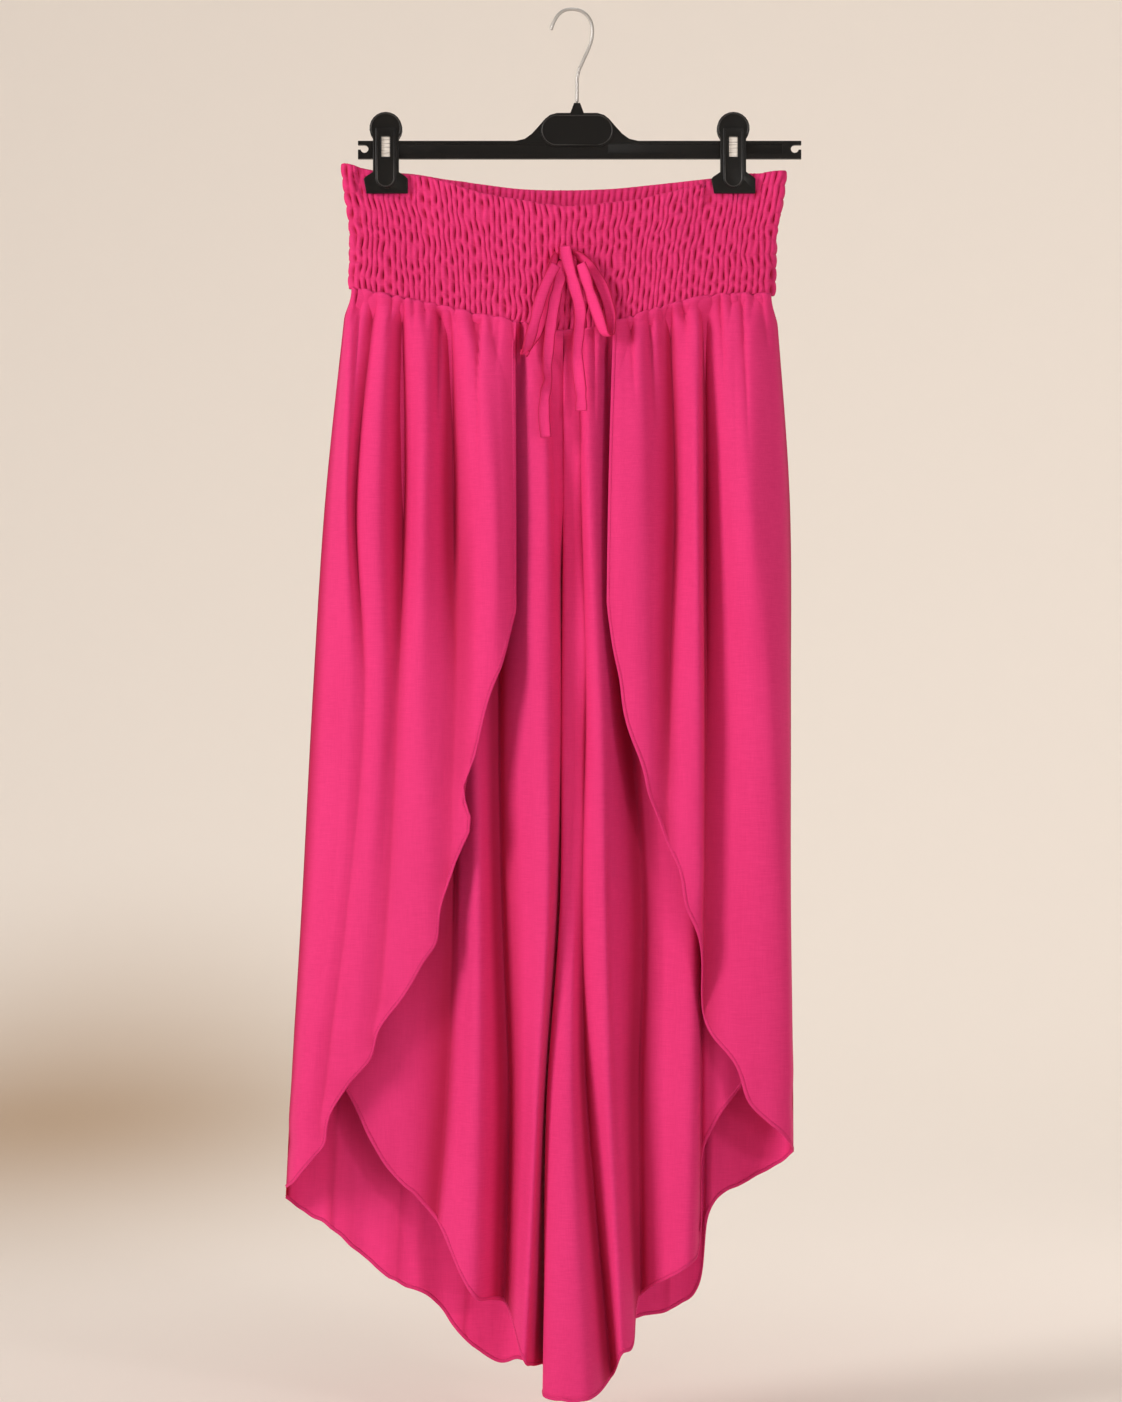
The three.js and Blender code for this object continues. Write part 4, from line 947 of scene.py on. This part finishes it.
def build_strand(name, points):
    """A flat, slightly rolled ribbon that follows its solid's route."""
    count = (len(points) - 1) * 12 + 1
    path = strand_path(points, count)
    centre, turn = path[:, :3], np.radians(path[:, 3])
    along = unit(np.gradient(centre, axis=0))
    across = np.stack([np.cos(turn), np.sin(turn), np.zeros(count)], axis=1)
    across = unit(across - along * np.sum(across * along, axis=1, keepdims=True))
    up = np.cross(across, along)
    half, thick = STRING_WIDTH / 2, STRING_THICKNESS / 2
    top = [(w, STRING_DISH * (1 - (w / half) ** 2)) for w in np.linspace(-half, half, 9)]
    section = [(w, dip + thick) for w, dip in top] + [(w, dip - thick) for w, dip in top[::-1]]
    narrow = 0.9 + 0.1 * noise(np.arange(count) / 7, np.zeros(count), 5)
    rings = np.array([
        [centre[i] + across[i] * w * narrow[i] + up[i] * h for w, h in section] for i in range(count)
    ])
    # The ribbon takes the lighter copy of the crepe: painted light
    strand = finish_piece(tube_object(name + "_ribbon", rings, painted_light_cloth), name)
    # Painted shade, darker towards the ribbon's edges; it stands partly for the real fold and stitch lines
    # along them
    set_painted_shade(strand, np.tile([0.9 * abs(w / half) ** 5 for w, _ in section], count))


def build_knot():
    """The bow's knot: ribbon wrapped over itself, with slanting folds."""
    rows, columns = 28, 40
    lat, lon = np.meshgrid(np.linspace(0.02, np.pi - 0.02, rows + 1),
                           np.arange(columns) * 2 * np.pi / columns, indexing="ij")
    ball = np.stack([np.sin(lat) * np.cos(lon), np.sin(lat) * np.sin(lon), np.cos(lat)], axis=-1)
    squared = np.sign(ball) * np.abs(ball) ** 0.6
    fold = np.sin(5.5 * ball[..., 2] + 2.4 * ball[..., 0])
    fold = fold + 0.5 * np.sin(9 * ball[..., 0] - 4 * ball[..., 2])
    points = squared * np.array(KNOT["half"]) * (0.92 + 0.05 * fold)[..., None]
    points = points.reshape(-1, 3) + np.array([KNOT["x"], KNOT["y"], KNOT["z"]])
    points = np.concatenate([points, points[:columns].mean(0)[None], points[-columns:].mean(0)[None]])
    faces = quad_grid(rows, columns, 0, True, True)
    top, bottom = len(points) - 2, len(points) - 1
    for column in range(columns):
        after = (column + 1) % columns
        faces.append((top, column, after))
        faces.append((bottom, rows * columns + after, rows * columns + column))
    knot = mesh_object("drawstring_knot_cloth", points, faces, cloth)
    turn_outwards(knot)
    finish_piece(knot, "drawstring_knot")


def build_round_bar(name, line, radius, sides, material):
    """A round bar along a line in a plane y = constant, with domed ends."""
    line = np.asarray(line, dtype=float)
    side = np.array([0.0, 1.0, 0.0])
    up = np.cross(unit(np.gradient(line, axis=0)), side)
    from_end = np.minimum(*(np.linalg.norm(line - end, axis=1) for end in (line[0], line[-1])))
    radii = radius * np.sqrt(np.maximum(0.04, 1 - (1 - np.minimum(1, from_end / radius)) ** 2))
    turns = np.arange(sides) * 2 * np.pi / sides
    rings = np.array([
        [line[i] + radii[i] * (math.cos(t) * side + math.sin(t) * up[i]) for t in turns]
        for i in range(len(line))
    ])
    return tube_object(name, rings, material)


def build_hook():
    """The hook's wire, round and even, with a domed tip."""
    at = np.linspace(0, len(HOOK) - 1, 190)
    x, z = (through([point[i] for point in HOOK], at) for i in (0, 1))
    hook = build_round_bar("hook_wire", np.stack([x, np.zeros(len(at)), z], axis=1), WIRE_RADIUS, 20, steel)
    finish_piece(hook, "hanger_hook")


def arc(x, z, radius, start, end, y):
    """Points along an arc in X and Z, with its angles in degrees from +X."""
    angles = np.radians(np.linspace(start, end, 40))
    return [(x + radius * math.cos(a), y, z + radius * math.sin(a)) for a in angles]


def build_beads():
    """The fine raised beads along the edges of the hanger's mouldings."""
    reach = HUB_HALF_WIDTH - HUB_RADIUS
    hub = arc(HUB_X + reach, HUB_Z, HUB_RADIUS - BEAD_INSET, -90, 90, HUB_FACE_Y)
    hub += arc(HUB_X - reach, HUB_Z, HUB_RADIUS - BEAD_INSET, 90, 270, HUB_FACE_Y)
    lines = {"hub_bead": hub + hub[:1]}
    for side, x in CLIP_XS.items():
        lines["disc_bead_" + side] = arc(x, DISC_Z, DISC_RADIUS - BEAD_INSET, -25, 205, ARM_FACE_Y)
        half = TONGUE_HALF - BEAD_INSET
        foot = arc(x, TONGUE_FOOT_Z, half, 180, 360, TONGUE_FACE_Y)
        ends = [(x + a, TONGUE_FACE_Y, TONGUE_TOP_Z) for a in (-half, half)]
        lines["tongue_bead_" + side] = ends[:1] + foot + ends[1:]
    for name, line in lines.items():
        # The beads take the lighter plastic: painted highlight
        finish_piece(build_round_bar(name, line, BEAD_RADIUS, 8, painted_highlight_plastic), None)


def build_rounded(node, name, material, width):
    """A copy of a hard solid with its edges rounded."""
    mesh = bmesh.new()
    mesh.from_mesh(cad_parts[node].data)
    bmesh.ops.transform(mesh, matrix=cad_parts[node].matrix_world, verts=mesh.verts)
    bmesh.ops.remove_doubles(mesh, verts=mesh.verts, dist=0.00001)
    bmesh.ops.dissolve_limit(mesh, angle_limit=math.radians(1.5), verts=mesh.verts, edges=mesh.edges)
    data = bpy.data.meshes.new(name)
    mesh.to_mesh(data)
    mesh.free()
    data.materials.append(material)
    piece = add_object(name, data)
    bevel = piece.modifiers.new("rounded edges", "BEVEL")
    bevel.width = width * MM
    bevel.segments = 3
    bevel.limit_method = "ANGLE"
    bevel.angle_limit = math.radians(35)
    data.polygons.foreach_set("use_smooth", [True] * len(data.polygons))
    data.set_sharp_from_angle(angle=math.radians(40))
    finish_piece(piece, node)


def build_stage():
    """A floor that sweeps up on every side into a plain pale wall."""
    floor_z = -1.232
    flat, wall, height, turns = 3.2, 8.0, 5.0, 96
    bend = wall - flat
    profile = [(0.0, floor_z), (flat, floor_z)]
    profile += [
        (flat + bend * math.sin(a), floor_z + bend * (1 - math.cos(a)))
        for a in np.linspace(0.05, math.pi / 2, 24)
    ]
    profile.append((wall, floor_z + bend + height))
    angles = np.arange(turns) * 2 * np.pi / turns
    points = [[r * math.cos(t), r * math.sin(t), z] for r, z in profile[1:] for t in angles]
    points.append([0.0, 0.0, floor_z])
    faces = quad_grid(len(profile) - 2, turns, 0, True, False)
    centre = len(points) - 1
    faces += [(centre, (i + 1) % turns, i) for i in range(turns)]
    stage = mesh_object("studio_sweep", np.array(points) / MM, faces, paper_material())


def build_lights():
    for name, (place, target, size, energy, spread) in LIGHTS.items():
        light = bpy.data.lights.new(name, "AREA")
        light.shape = "RECTANGLE"
        light.size, light.size_y = size
        light.energy = energy
        light.spread = math.radians(spread)
        light.color = WALL_LIGHT_COLOR if name == "wall" else LIGHT_COLOR
        lamp = add_object(name, light)
        lamp.location = place
        lamp.rotation_euler = (Vector(target) - Vector(place)).to_track_quat("-Z", "Y").to_euler()
    world = bpy.data.worlds.new("studio")
    bpy.context.scene.world = world
    world.use_nodes = True
    background = world.node_tree.nodes["Background"]
    background.inputs["Color"].default_value = (1.0, 0.98, 0.96, 1)
    background.inputs["Strength"].default_value = 0.13


def build_camera():
    data = bpy.data.cameras.new("camera")
    data.sensor_fit = "AUTO"
    data.sensor_width = SENSOR
    data.lens = SENSOR * VIEW_DISTANCE / VIEW_HEIGHT
    camera = add_object("camera", data)
    camera.location = VIEW_CENTRE - Vector((0, VIEW_DISTANCE, 0))
    camera.rotation_euler = (math.pi / 2, 0, 0)
    bpy.context.scene.camera = camera


def build_garment():
    build_waistband()
    stitch_lines = []
    for name, panel in PANELS.items():
        piece, edge = build_panel(name, panel)
        hem, lines = build_hem(name + "_hem", edge)
        stitch_lines += lines
    build_stitches("hem_stitches", stitch_lines, STITCH_SPACING, STITCH_SIZE, thread)
    build_knot()
    for name, points in STRANDS.items():
        build_strand(name, points)


def build_hanger():
    build_hook()
    build_beads()
    build_rounded("hanger_bar", "bar_moulding", plastic, 0.8)
    for side in CLIP_XS:
        build_rounded("clip_front_" + side, "front_arm_" + side, plastic, 0.5)
        build_rounded("clip_back_" + side, "back_arm_" + side, plastic, 0.5)
        build_rounded("clip_strip_" + side, "strip_" + side, strip, 0.2)


build_camera()
build_garment()
build_hanger()
build_stage()
build_lights()
bpy.context.scene.view_settings.view_transform = "Standard"
bpy.context.scene.view_settings.look = "None"
